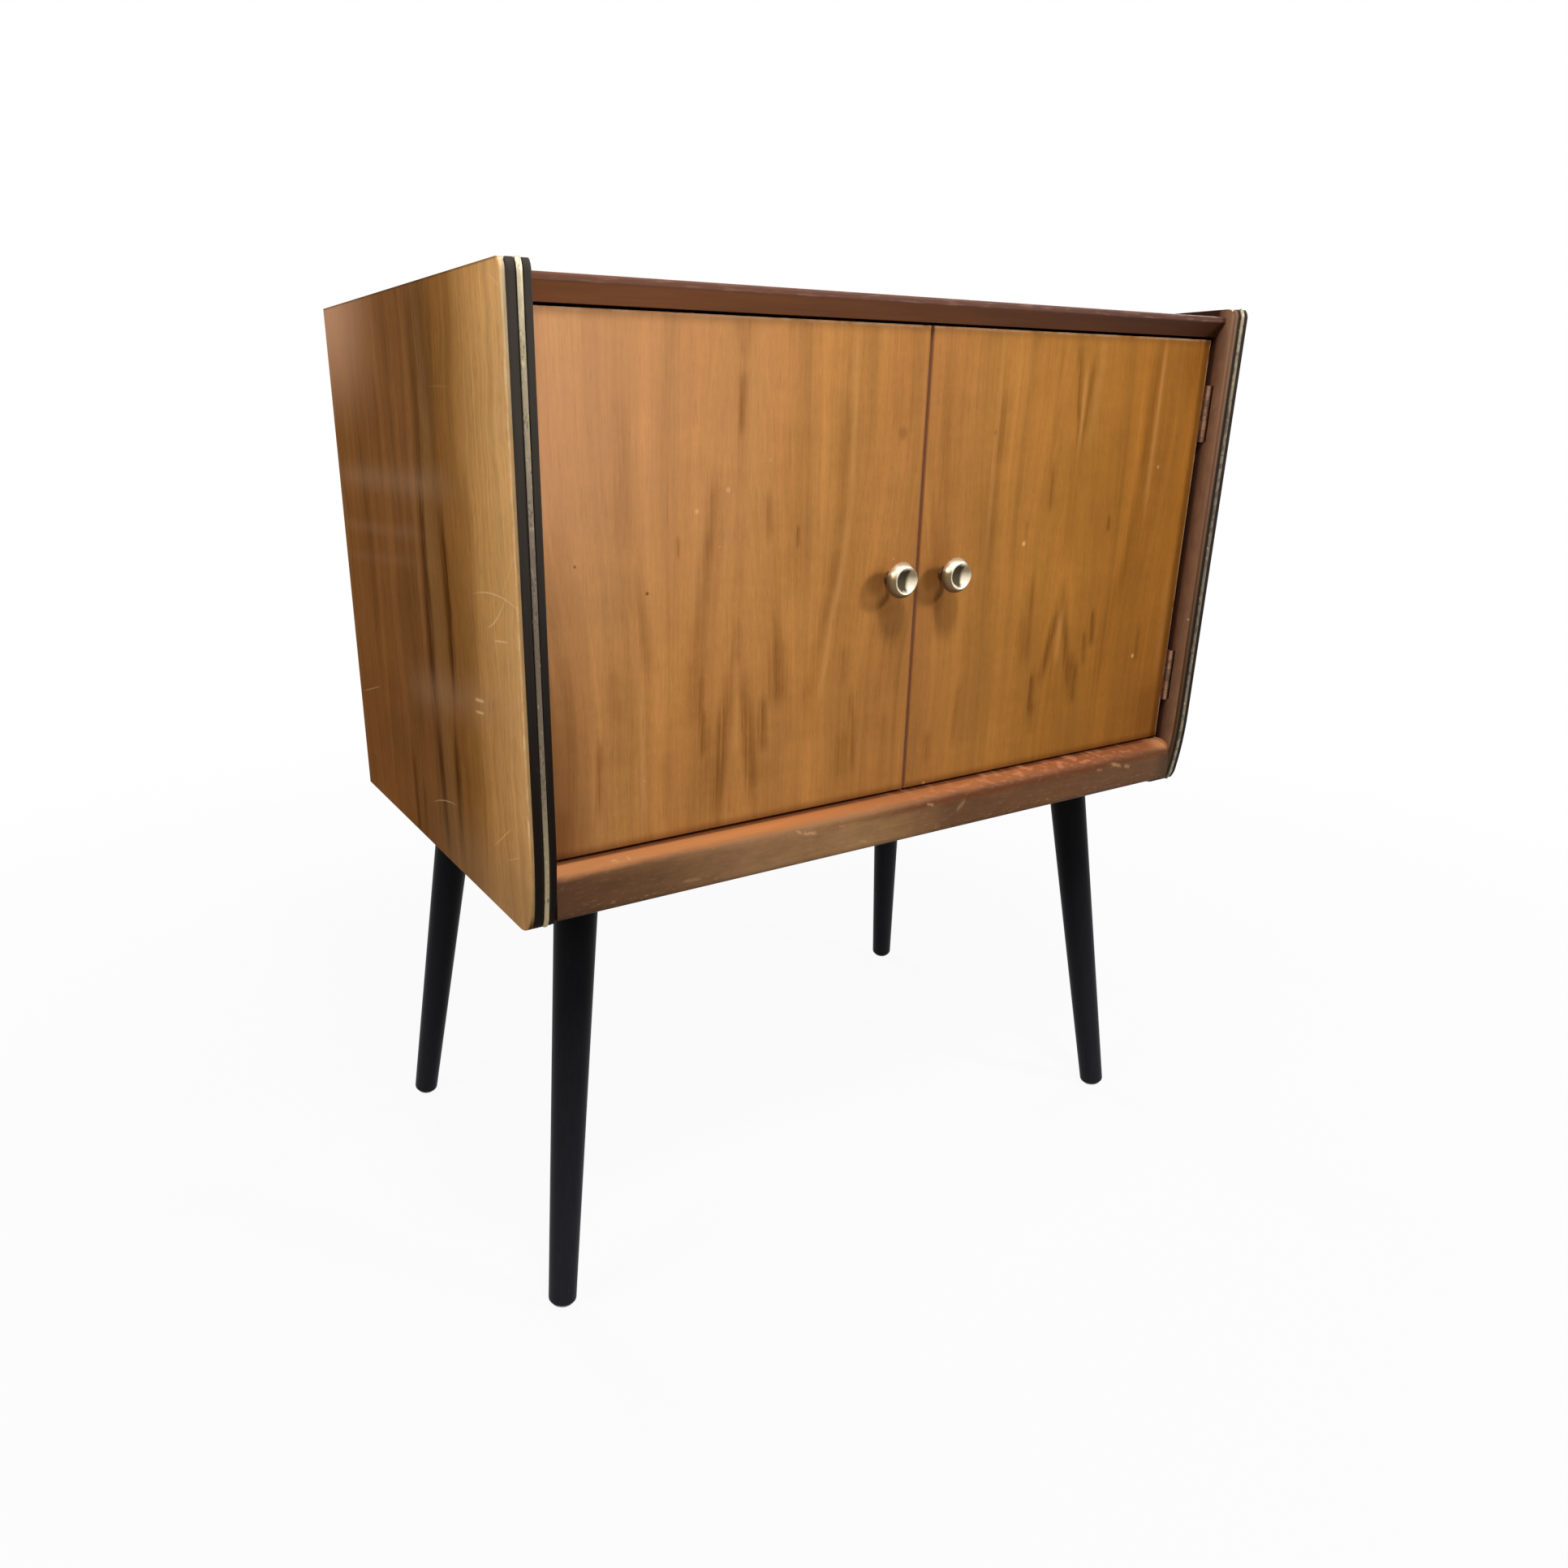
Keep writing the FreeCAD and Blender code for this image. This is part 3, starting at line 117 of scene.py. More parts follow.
class Shading:
    """The nodes of a material or of the world."""

    def __init__(self, tree):
        self.tree = tree

    def node(self, kind, settings=None, inputs=(), output=0):
        """Add a node: its settings first, then the values or links of its sockets."""
        node = self.tree.nodes.new(kind)
        for name, setting in (settings or {}).items():
            if name == "stops":
                self.set_stops(node.color_ramp, setting)
            else:
                setattr(node, name, setting)
        sockets = inputs.items() if isinstance(inputs, dict) else enumerate(inputs)
        for key, value in sockets:
            if isinstance(value, Wire):
                self.tree.links.new(value.socket, node.inputs[key])
            else:
                node.inputs[key].default_value = value
        return Wire(self, node.outputs[output]) if node.outputs else None

    @staticmethod
    def set_stops(ramp, stops):
        """Give a colour ramp its stops, each a position from 0 to 1 and a colour."""
        while len(ramp.elements) < len(stops):
            ramp.elements.new(1)
        for element, (position, colour) in zip(ramp.elements, stops):
            element.position = position
            element.color = colour

    def between(self, value, start, end, least=0):
        """The least before start, 1 after end, and a smooth rise from one to the other."""
        return self.node("ShaderNodeMapRange", {"interpolation_type": "SMOOTHSTEP"},
                         {"Value": value, "From Min": start, "From Max": end, "To Min": least})

    def seen_rays(self):
        """1 for camera, glossy and transmission rays."""
        seen = 0
        for ray in ("Is Camera Ray", "Is Glossy Ray", "Is Transmission Ray"):
            light_path = self.node("ShaderNodeLightPath", output=ray)
            seen = light_path.math("MAXIMUM", seen, light_path)
        return seen


class Finish(Shading):
    """A material, the nodes that vary it, and the constants on its Principled shader."""

    STROKE_BLUR = 2.4  # a stroke has faded out at this many widths from its line
    STROKE_TAPER = 0.4  # it fades towards its ends from this share of its half length
    DOT_CORE = 0.3  # a speck fades from this share of its radius

    def __init__(self, name, **constants):
        self.material = bpy.data.materials.new(name)
        self.material.use_nodes = True
        super().__init__(self.material.node_tree)
        self.shader = self.tree.nodes["Principled BSDF"]
        for socket, value in constants.items():
            self.shader.inputs[socket.replace("_", " ")].default_value = value
        place = self.node("ShaderNodeTexCoord", output="Object")
        scaled = self.node("ShaderNodeVectorMath", {"operation": "SCALE"},
                           {"Vector": place, "Scale": 1 / MM})
        axes = self.node("ShaderNodeSeparateXYZ", {}, [scaled]).socket.node
        self.x, self.y, self.z = (Wire(self, socket) for socket in axes.outputs)

    def noise(self, x, y, z, detail=2, roughness=0.5, distortion=0):
        """Noise with a feature size of about one unit of the values given."""
        where = self.node("ShaderNodeCombineXYZ", {}, (x, y, z))
        sockets = {"Vector": where, "Scale": 1, "Detail": detail, "Roughness": roughness,
                   "Distortion": distortion}
        return self.node("ShaderNodeTexNoise", {}, sockets)

    def grains(self, size, **character):
        """Noise with the same feature size, in mm, along every axis."""
        return self.noise(self.x / size, self.y / size, self.z / size, **character)

    def ramp(self, value, stops):
        """Colours at places along a value."""
        start = stops[0][0]
        span = stops[-1][0] - start
        stops = [((place - start) / span, colour) for place, colour in stops]
        return self.node("ShaderNodeValToRGB", {"stops": stops}, [(value - start) / span])

    def mix(self, factor, first, second, blend="MIX"):
        """The first colour where the factor is 0, and the second where it is 1."""
        return self.node("ShaderNodeMix", {"data_type": "RGBA", "blend_type": blend},
                         {0: factor, 6: first, 7: second}, output=2)

    def stain(self, factor, colour, shade):
        """The colour multiplied by a shade, as far as the factor goes."""
        return self.mix(factor, colour, shade, "MULTIPLY")

    def tint(self, colour, amount):
        """The colour made lighter or darker by a factor that varies."""
        return self.stain(1, colour, self.node("ShaderNodeCombineColor", {}, [amount] * 3))

    def vary(self, colour, *patterns):
        """The colour lighter and darker with each pattern, by up to its share either way."""
        for pattern, share in patterns:
            colour = self.tint(colour, 1 - share + 2 * share * pattern)
        return colour

    def stroke(self, along, across, start, end, width, bow=0):
        """A soft stroke from start to end, each a place along and across; bow bends its middle."""
        half = (end[0] - start[0]) / 2
        run = (along - (start[0] + half)) / half
        line = run * ((end[1] - start[1]) / 2) + (start[1] + end[1]) / 2
        if bow:
            line = line + (1 - run * run) * bow
        near = 1 - self.between(abs(across - line), 0, width * self.STROKE_BLUR)
        return near * near * (1 - self.between(abs(run), self.STROKE_TAPER, 1))

    def strokes(self, along, across, shapes):
        """Several strokes as one mask: the two ends, width, bow and strength of each."""
        total = 0
        for low, low_place, high, high_place, width, bow, strength in shapes:
            shape = self.stroke(along, across, (low, low_place), (high, high_place), width, bow)
            total = shape * strength + total
        return self.node("ShaderNodeClamp", {}, [total])

    def dots(self, x, y, spots):
        """Round specks: across, up, radius and strength of each."""
        total = 0
        for across, up, radius, strength in spots:
            reach = ((x - across) ** 2 + (y - up) ** 2) ** 0.5 / radius
            total = (1 - self.between(reach, self.DOT_CORE, 1)) * strength + total
        return total

    def done(self, colour, roughness, height, depth, metallic=None):
        """Link what varies to the shader, with a bump depth mm high, and return the material."""
        bump = self.node("ShaderNodeBump", {}, {"Strength": 1, "Distance": depth * MM,
                                                 "Height": height})
        for socket, value in (("Base Color", colour), ("Roughness", roughness),
                              ("Normal", bump), ("Metallic", metallic)):
            if value is not None:
                self.tree.links.new(value.socket, self.shader.inputs[socket])
        return self.material


def dress(material, *names):
    """Put a finish on CAD nodes."""
    for name in names:
        for slot in nodes[name].material_slots:
            slot.material = material


def ending(*words):
    """The names of the CAD nodes that end with one of the words."""
    return [name for name in nodes if name.endswith(words)]


# ---------------------------------------------------------------- places on the cabinet, mm
LOW, HIGH = 0, 1
X, Y, Z = 0, 1, 2


def edge_mm(node, end, axis):
    """Where a CAD node begins (LOW) or ends (HIGH) along an axis."""
    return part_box(node)[end][axis] / MM


SIDE_FRONT = edge_mm("right_side_panel", LOW, Y)
SIDE_TOP = edge_mm("right_side_panel", HIGH, Z)
SIDE_OUTER = edge_mm("right_side_panel", HIGH, X)
SIDE_INNER = edge_mm("right_side_panel", LOW, X)
BEAD_MIDDLE = (SIDE_INNER + edge_mm("right_edging_strip", HIGH, X)) / 2
DOOR_FRONT = edge_mm("right_door", LOW, Y)
DOOR_OUTER = edge_mm("right_door", HIGH, X)
DOOR_BOTTOM = edge_mm("right_door", LOW, Z)
DOOR_TOP = edge_mm("right_door", HIGH, Z)
TOP_RAIL_FRONT = edge_mm("top_rail", LOW, Y)
TOP_RAIL_TOP = edge_mm("top_rail", HIGH, Z)
BOTTOM_RAIL_TOP = edge_mm("bottom_rail", HIGH, Z)
CROWN = 148  # the veneer's crown stands this far left and right of the middle


def right_hand(f):
    """0 left of the middle, rising to 1 at 200 mm to the right of it."""
    return f.between(f.x, 0, 200)


# ---------------------------------------------------------------- timber
# A leaf is the number that picks a pattern. In every noise, a coordinate is divided by the size,
# in mm, of the features along it.
def fine_grain(f, across, along, leaf):
    """Short dark pores and fine fibres that run along the grain, each about 0 to 1."""
    fibre = f.noise(across / 1.3, along / 70, leaf, detail=3, roughness=0.65)
    pores = f.between(f.noise(across / 0.6, along / 16, leaf + 5, detail=1), 0.4, 0.26)
    return fibre, pores


def timber_bump(lines, fibre, pores):
    """How the grain stands up: lines and fibres proud, pores sunk."""
    return lines * 0.3 + fibre * 0.4 - pores * 0.6


def dark_threads(f, across, along, leaf):
    """Threads of darker wood along the grain, which break up a streak."""
    return f.between(f.noise(across, along, leaf, detail=3, roughness=0.7), 0.3, 0.62)


def crown_cut(f, centre, leaf):
    """Growth rings of a crown-cut leaf, even along each ring, and the way across the leaf."""
    wander = (f.noise(f.x / 90, f.z / 230, leaf, detail=1) - 0.5) * 14
    off = f.x - centre + wander
    spread = abs(off)
    pinch = 1 + 0.2 * f.between(spread, 20, 80) * f.between(f.z, 620, 430)
    rise = f.between(f.z, 345, 1500) * 5200
    return ((spread * pinch) ** 2 + rise) ** 0.5, off


# Strokes run up the doors: height and x of the lower end, of the upper end, width, bow, strength.
# Specks: x, height, radius, strength; the large dark ones by a pull are its painted shadow.
LEFT_FIGURE = {
    "streaks": [
        (606, -147, 656, -146, 2.2, 0, 0.75),
        (555, -148, 662, -146, 4, 0, 0.3),
        (485, -148, 575, -147, 5, 0, 0.24),
        (650, -146.5, 690, -151, 3, 0, 0.4),
        (650, -145.5, 690, -140, 3, 0, 0.35),
        (530, -171.5, 594, -165, 4.5, 0, 0.6),
        (462, -179, 560, -169, 6, -1, 0.5),
        (425, -184, 484, -178.5, 8, 0, 0.5),
        (436, -176, 472, -175, 2, 0, 0.5),
        (543, -124, 583, -127.5, 3, 0, 0.6),
        (530, -228, 650, -230, 5, 0, 0.32),
        (460, -212, 545, -227, 5, 1.5, 0.45),
        (535, -67, 645, -67, 5, 0, 0.4),
        (465, -86, 550, -68, 5, 1.5, 0.5),
        (432, -92, 486, -84, 7, 0, 0.35),
        (345, -165, 484, -150.5, 5, -1, 0.75),
        (352, -133, 484, -147.5, 5, 1, 0.75),
        (370, -171, 450, -163, 9, 0, 0.45),
        (376, -130, 450, -138, 8, 0, 0.4),
        (464, -149, 506, -149, 4, 0, 0.5),
        (406, -174.5, 448, -174, 2, 0, 1),
        (430, -114, 514, -119.5, 4, 0, 0.6),
        (434, -118, 490, -116, 8, 0, 0.55),
        (404, -126.5, 450, -128, 3, 0, 0.95),
        (400, -106, 474, -108, 5, 0, 0.35),
        (375, -251, 442, -248, 2, 0, 0.85),
        (374, -48.5, 448, -53, 2.4, 0, 0.85),
        (370, -60, 418, -58, 7, 0, 0.5),
        (440, -62, 480, -60, 4, 0, 0.35),
        (355, -268, 510, -268, 7, 0, 0.4),
        (434, -238, 484, -238, 8, 0, 0.3),
        (400, -90, 460, -92, 4, 0, 0.3),
        (395, -34, 455, -30, 6, 0, 0.3),
        (355, -22, 432, -22, 4, 0, 0.35),
        (355, -205, 426, -200, 5, 0, 0.25),
        (330, -150, 470, -150, 11, 0, 0.2),
        (345, -276, 400, -276, 10, 0, 0.4),
        (590, -20, 730, -20, 12, 0, 0.45),
        (490, -108, 640, -110, 12, 0, 0.4),
        (430, -20, 520, -22, 10, 0, 0.3),
        (490, -275, 580, -275, 8, 0, 0.25),
        (540, -103.5, 558, -103, 1.3, 0, 1),
        (538, -192, 556, -192, 1.4, 0, 0.7),
    ],
    "lights": [
        (550, -61.5, 700, -61, 2.4, 0, 0.7),
        (490, -73, 575, -62, 2.6, 2, 0.8),
        (430, -83, 518, -71, 2.6, 1, 0.8),
        (470, -220, 550, -226, 2, 0, 0.55),
        (360, -218.5, 495, -220, 2.2, 0, 0.7),
        (400, -149.5, 484, -149.2, 2.6, 0, 0.5),
        (565, -138, 680, -137, 6, 0, 0.35),
        (490, -181, 600, -177, 5, 0, 0.35),
        (370, -254.5, 455, -254, 2, 0, 0.35),
    ],
    "dark_specks_and_pull_shadows": [
        (-214.5, 521, 1.6, 0.8), (-262, 540, 1.3, 0.7), (-20, 612, 6, 0.3),
        # painted shadow of the left pull
        (-36, 515, 13, 0.42), (-28, 498, 12, 0.2),
    ],
    "pale_specks": [
        (-157, 580, 2.4, 0.5), (-179.5, 568, 2.2, 0.55), (-126, 597, 1.6, 0.3),
        (-163, 546, 1.2, 0.3), (-22, 530, 1, 0.5), (-218, 402, 1, 0.4),
    ],
}
RIGHT_FIGURE = {
    "streaks": [
        (616, 146, 674, 141.5, 2.6, 0, 0.95),
        (588, 151.5, 634, 146, 2.2, 0, 0.65),
        (655, 141, 690, 141, 3, 0, 0.35),
        (594, 152, 672, 158, 2.6, 0.5, 0.7),
        (550, 127, 594, 125, 2.8, 0, 0.7),
        (585, 124.5, 688, 123, 3, 0, 0.28),
        (490, 69, 680, 70, 4, 0, 0.38),
        (584, 72, 646, 71, 6, 0, 0.32),
        (550, 224, 700, 228, 5, 0, 0.75),
        (470, 212, 585, 224, 6, 2, 0.6),
        (400, 200, 510, 211, 7, 0, 0.45),
        (418, 133.5, 490, 148.5, 3.6, 0, 0.85),
        (406, 171, 490, 151.5, 3.6, 0, 0.7),
        (466, 150, 510, 150, 3, 0, 0.35),
        (398, 173.5, 442, 169, 6, 0, 0.95),
        (420, 176, 450, 166, 4, 0, 0.45),
        (392, 128, 442, 127, 5, 0, 0.6),
        (402, 125.5, 436, 124.5, 2, 0, 0.9),
        (380, 130, 414, 128, 6, 0, 0.4),
        (430, 119, 518, 115.5, 3.2, 0, 0.7),
        (432, 112, 486, 110, 5, 0, 0.45),
        (444, 190, 484, 186.5, 2.4, 0, 1),
        (430, 182.5, 466, 179.5, 2, 0, 0.9),
        (426, 246, 462, 246, 2.2, 0, 0.75),
        (355, 262, 412, 262, 14, 0, 0.45),
        (378, 46, 446, 50, 3, 0, 0.5),
        (372, 22, 404, 21, 3, 0, 0.45),
        (534, 173, 606, 171, 4, 0, 0.3),
        (470, 262, 650, 262, 5, 0, 0.26),
        (325, 150, 480, 150, 13, 0, 0.45),
        (430, 18, 720, 20, 10, 0, 0.5),
        (345, 18, 410, 20, 10, 0, 0.25),
        (620, 110, 720, 112, 12, 0, 0.25),
        (610, 271, 800, 273, 16, 0, 0.8),
        (500, 150, 620, 150, 9, 0, 0.42),
        (500, 190, 640, 192, 12, 0, 0.3),
        (536, 193.5, 552, 192.5, 2.2, 0, 0.8),
        (534, 104.5, 552, 104, 1.6, 0, 0.6),
    ],
    "lights": [
        (530, 232.5, 700, 234, 2.2, 0, 0.7),
        (584, 150, 668, 150, 1.8, 0, 0.8),
        (430, 150, 490, 150, 2.6, 0, 0.6),
        (490, 64.5, 700, 65, 2, 0, 0.5),
        (590, 160, 690, 167, 4, 0, 0.35),
        (400, 273, 520, 273, 4, 0, 0.3),
    ],
    "dark_specks_and_pull_shadows": [
        # all but the first: painted shadow of the right pull
        (64, 612, 2.4, 0.3), (14, 514, 13, 0.42), (20, 498, 12, 0.2), (28, 533, 9, 0.12),
    ],
    "pale_specks": [
        (102, 533.5, 2.4, 0.8), (241, 435, 2.6, 0.55), (242, 585, 2, 0.35), (20, 361, 2, 0.4),
    ],
}
# Tone of the lacquered veneer from the left door's outer edge to the right door's: x, colour.
DOOR_TONES = [
    (-290, paint(188, 136, 86)),
    (-230, paint(190, 134, 77)),
    (-190, paint(184, 127, 70)),
    (-150, paint(180, 125, 70)),
    (-60, paint(179, 123, 64)),
    (-20, paint(172, 117, 62)),
    (20, paint(170, 115, 60)),
    (60, paint(171, 116, 56)),
    (150, paint(162, 108, 45)),
    (190, paint(153, 100, 39)),
    (230, paint(154, 99, 36)),
    (290, paint(143, 91, 34)),
]
# Darkened lower outer corners: x, the height where it begins, strength.
DOOR_CORNERS = [(-290, 590, 0.85), (290, 500, 0.4)]


def door_veneer(name, centre, leaf, figure):
    """Walnut leaf with its crown on the middle of the door, satin lacquered."""
    f = Finish(name, Specular_IOR_Level=0.04)
    rings, off = crown_cut(f, centre, leaf)
    broad = f.noise(rings / 21, f.z / 460, leaf, detail=2)
    lines = f.noise(rings / 5, f.z / 260, off / 300 + leaf, detail=3, roughness=0.7)
    fibre, pores = fine_grain(f, off, f.z, leaf)
    cloud = f.noise(f.x / 60, f.z / 75, leaf + 20, detail=2)
    ripple = f.noise(f.x / 24, f.z / 11, leaf + 30, detail=3, roughness=0.6)
    flecks = f.noise(off / 2.1, f.z / 6.5, leaf + 40, detail=4, roughness=0.75)

    colour = f.vary(f.ramp(f.x, DOOR_TONES), (broad, 0.34), (lines, 0.23), (fibre, 0.13),
                    (cloud, 0.14), (ripple, 0.1), (flecks, 0.16))
    colour = door_shades(f, colour)
    threads = dark_threads(f, off / 1.9, f.z / 90, leaf + 9)
    colour = door_figure(f, colour, threads, figure)
    colour = f.mix(pores * 0.13, colour, paint(100, 62, 28))
    # dark specks in the wood, and painted shadows of the pulls
    colour = f.mix(f.dots(f.x, f.z, figure["dark_specks_and_pull_shadows"]), colour, paint(92, 54, 24))
    colour = f.mix(f.dots(f.x, f.z, figure["pale_specks"]) * 0.75, colour, paint(232, 176, 122))
    colour = door_rims(f, colour)

    back = f.vary(f.mix(lines, paint(138, 88, 52), paint(168, 112, 70)), (broad, 0.24))
    # painted light: the door's edge inside the shaded gap made paler
    gap_painted_light = f.between(abs(f.x), 1.6, 1.1)
    back = f.mix(gap_painted_light, back, paint(178, 134, 104))
    face = f.between(f.y, DOOR_FRONT + 1, DOOR_FRONT + 0.5)
    rough = 0.34 + 0.12 * cloud + 0.1 * pores
    return f.done(f.mix(face, back, colour), rough, timber_bump(lines, fibre, pores), 0.06)


def door_shades(f, colour):
    """Painted shade that makes the doors cooler and darker low down, a painted pink sheen at the top
    left, darker lower outer corners, and painted shade at the foot.
    """
    # painted shade: the light falls off towards the bottom
    height = f.between(f.z, DOOR_BOTTOM, DOOR_TOP)
    colour = f.mix(height, f.stain(1, colour, paint(236, 232, 222)), colour)
    # painted sheen: a pink glare of light on the top left
    pink_sheen_corner = f.between(f.x, -60, -290) * f.between(f.z, 430, 640)
    colour = f.mix(pink_sheen_corner * 0.35, colour, paint(212, 156, 118))
    for side, begin, strength in DOOR_CORNERS:
        dull = f.between(f.x, side * 0.82, side) * f.between(f.z, begin, 365)
        colour = f.mix(dull * strength, colour, paint(112, 66, 34))
    # painted shade along the foot, beside the bottom rail
    foot = f.between(f.z, DOOR_BOTTOM + 7, DOOR_BOTTOM)
    return f.stain(foot * 0.6, colour, paint(150, 108, 84))


def door_figure(f, colour, threads, figure):
    """The dark streaks of the crown, which drift with the threads, and the pale ones beside them."""
    drift = (threads - 0.5) * 2.4
    dark = f.strokes(f.z, f.x + drift, figure["streaks"]) * (0.38 + 0.38 * threads)
    colour = f.stain(dark, colour, paint(176, 160, 134))
    return f.mix(f.strokes(f.z, f.x, figure["lights"]) * 0.28, colour, paint(218, 160, 98))


def door_rims(f, colour):
    """Painted shade, brown, along the gap between the doors, and pale worn arrises at the top and
    the outside.
    """
    # painted shade of the gap, spread onto the faces beside it
    seam_shade = f.between(abs(f.x), 3, 1.4)
    colour = f.mix(seam_shade * 0.7, colour, paint(134, 80, 48))
    top = f.between(f.z, DOOR_TOP - 2.4, DOOR_TOP - 0.4)
    outside = f.between(abs(f.x), DOOR_OUTER - 2.6, DOOR_OUTER - 0.6)
    arris = f.node("ShaderNodeClamp", {}, [top + outside])
    patchy = f.between(f.grains(12, detail=3), 0.3, 0.6)
    return f.mix(arris * patchy * 0.4, colour, paint(226, 186, 152))


# Tone of the side veneer from front to back: y, colour.
SIDE_TONES = [
    (-184, paint(212, 162, 104)),
    (-150, paint(196, 146, 88)),
    (-130, paint(188, 138, 80)),
    (-100, paint(147, 102, 52)),
    (-74, paint(135, 90, 45)),
    (-40, paint(133, 92, 52)),
    (0, paint(126, 83, 46)),
    (90, paint(130, 85, 45)),
    (184, paint(132, 86, 46)),
]
# Streaks run up the side: height and y of the lower end, of the upper end, width, bow, strength.
SIDE_STREAKS = [
    (560, -60, 720, -62, 10, 0, 0.35),
    (420, -62, 590, -59, 6, -2, 1),
    (310, -57, 440, -61, 5.5, 2, 0.9),
    (560, -26, 720, -29, 9, 0, 0.6),
    (400, -21, 610, -25, 6, 4, 1),
    (310, -27, 430, -21, 5.5, 0, 0.95),
    (610, -45, 720, -46, 14, 0, 0.25),
    (300, 45, 390, 44, 4, 0, 0.7),
    (300, 26, 370, 25, 3.5, 0, 0.4),
    (300, -12, 500, -8, 6, 0, 0.25),
    (380, 18, 560, 12, 10, 0, 0.3),
    (440, -108, 620, -112, 9, 0, 0.3),
    (330, -104, 450, -102, 6, 0, 0.25),
    (560, 66, 660, 64, 9, 0, 0.3),
    (420, 118, 640, 112, 12, 0, 0.25),
]
# Painted reflection bands and scratches run from front to back: y and height of each end, width,
# bow, strength.
SIDE_REFLECTION_BANDS = [
    (-130, 582, 230, 577, 9, 0, 1),
    (-60, 549, 230, 537, 4.5, 0, 0.5),
    (-40, 530, 230, 511, 4, 0, 0.35),
    (-190, 462, 70, 430, 14, 0, 1),
    (-60, 640, -30, 640, 30, 0, 0.2),
]
SIDE_SCRATCHES = [
    (-200, 517, -106, 519, 0.45, 7, 0.8),
    (-186, 556, -158, 524, 0.4, -2, 0.6),
    (-170, 530, -132, 503, 0.5, -5, 0.9),
    (-168, 500, -142, 497, 0.5, 0, 1),
    (-158, 384, -120, 358, 0.45, 0, 0.7),
    (-168, 367, -144, 357, 0.4, 0, 0.5),
    (-56, 366, 6, 351, 0.45, 3, 0.5),
    (116, 417, 182, 399, 0.45, 0, 0.4),
    (-100, 639, -52, 640, 0.4, 0, 0.12),
    (-184, 684, -164, 694, 0.5, 0, 0.6),
    (-122, 455, -102, 453, 1, 0, 1),
    (-120, 447, -102, 445, 0.8, 0, 1),
]
# Specks inside the front edge: y, height, radius, strength.
SIDE_NICKS = [(-181, 463, 1.3, 0.9), (-176, 630, 0.8, 0.3)]
# Tone of the pale front edge from its foot to the top: height, colour.
SIDE_EDGE_TONES = [
    (320, paint(196, 156, 104)),
    (520, paint(190, 150, 100)),
    (620, paint(198, 162, 114)),
    (700, paint(218, 194, 156)),
]


def side_veneer(name, leaf, marks_and_reflections):
    """Walnut side panel; its last argument, 0 to 1, is how far painted reflection bands and
    scratches show on its outer face.
    """
    f = Finish(name, Specular_IOR_Level=0)
    across = f.y + (f.noise(f.y / 50, f.z / 90, leaf, detail=3) - 0.5) * 26
    broad = f.noise(across / 16, f.z / 480, 4.2, detail=3, roughness=0.6)
    lines = f.noise(across / 3.2, f.z / 260, 7.7, detail=3, roughness=0.65)
    fibre, pores = fine_grain(f, across, f.z, 2.3)
    cloud = f.noise(f.y / 80, f.z / 60, 11, detail=2)
    flecks = f.noise(across / 2.6, f.z / 7, leaf + 40, detail=4, roughness=0.75)
    scratches = f.strokes(f.y, f.z, SIDE_SCRATCHES) * marks_and_reflections

    colour = f.vary(f.ramp(across, SIDE_TONES), (broad, 0.38), (lines, 0.26), (fibre, 0.2),
                    (cloud, 0.2), (flecks, 0.15))
    threads = dark_threads(f, across / 2.4, f.z / 80, 15)
    streaks = f.strokes(f.z, f.y + (threads - 0.5) * 4, SIDE_STREAKS)
    colour = f.stain(streaks * (0.45 + 0.55 * threads), colour, paint(150, 130, 100))
    # painted reflection: pale bands of light across the outer face
    reflection_bands = f.strokes(f.y, f.z, SIDE_REFLECTION_BANDS) * marks_and_reflections
    colour = f.mix(reflection_bands * 0.2, colour, paint(176, 140, 112))
    colour = f.mix(pores * 0.3, colour, paint(70, 40, 18))
    colour = side_shades(f, colour)
    colour = f.mix(scratches * 0.6, colour, paint(236, 196, 142))
    inside = f.between(abs(f.x), SIDE_INNER + 0.6, SIDE_INNER + 0.2)
    colour = f.mix(inside, colour, side_reveal(f, broad, lines))
    colour = side_edges(f, colour, inside)
    bump = timber_bump(lines, fibre, pores) - scratches
    return f.done(colour, 0.3 + 0.12 * cloud + 0.12 * pores, bump, 0.06)


def side_shades(f, colour):
    """Uneven colour of the outer face: paler at the top back and at the bottom front, and painted
    shade that darkens it low down.
    """
    pale_top_back = f.between(f.y, 20, 180) * f.between(f.z, 600, 700)
    colour = f.mix(pale_top_back * 0.8, colour, paint(206, 156, 120))
    pale_bottom_front = f.between(f.z, 390, 325) * f.between(f.y, 60, -120)
    colour = f.mix(pale_bottom_front * 0.45, colour, paint(158, 124, 90))
    # painted shade: darker towards the bottom, where less light falls
    low = f.between(f.z, 640, 330)
    return f.stain(low * 0.42, colour, paint(216, 202, 184))


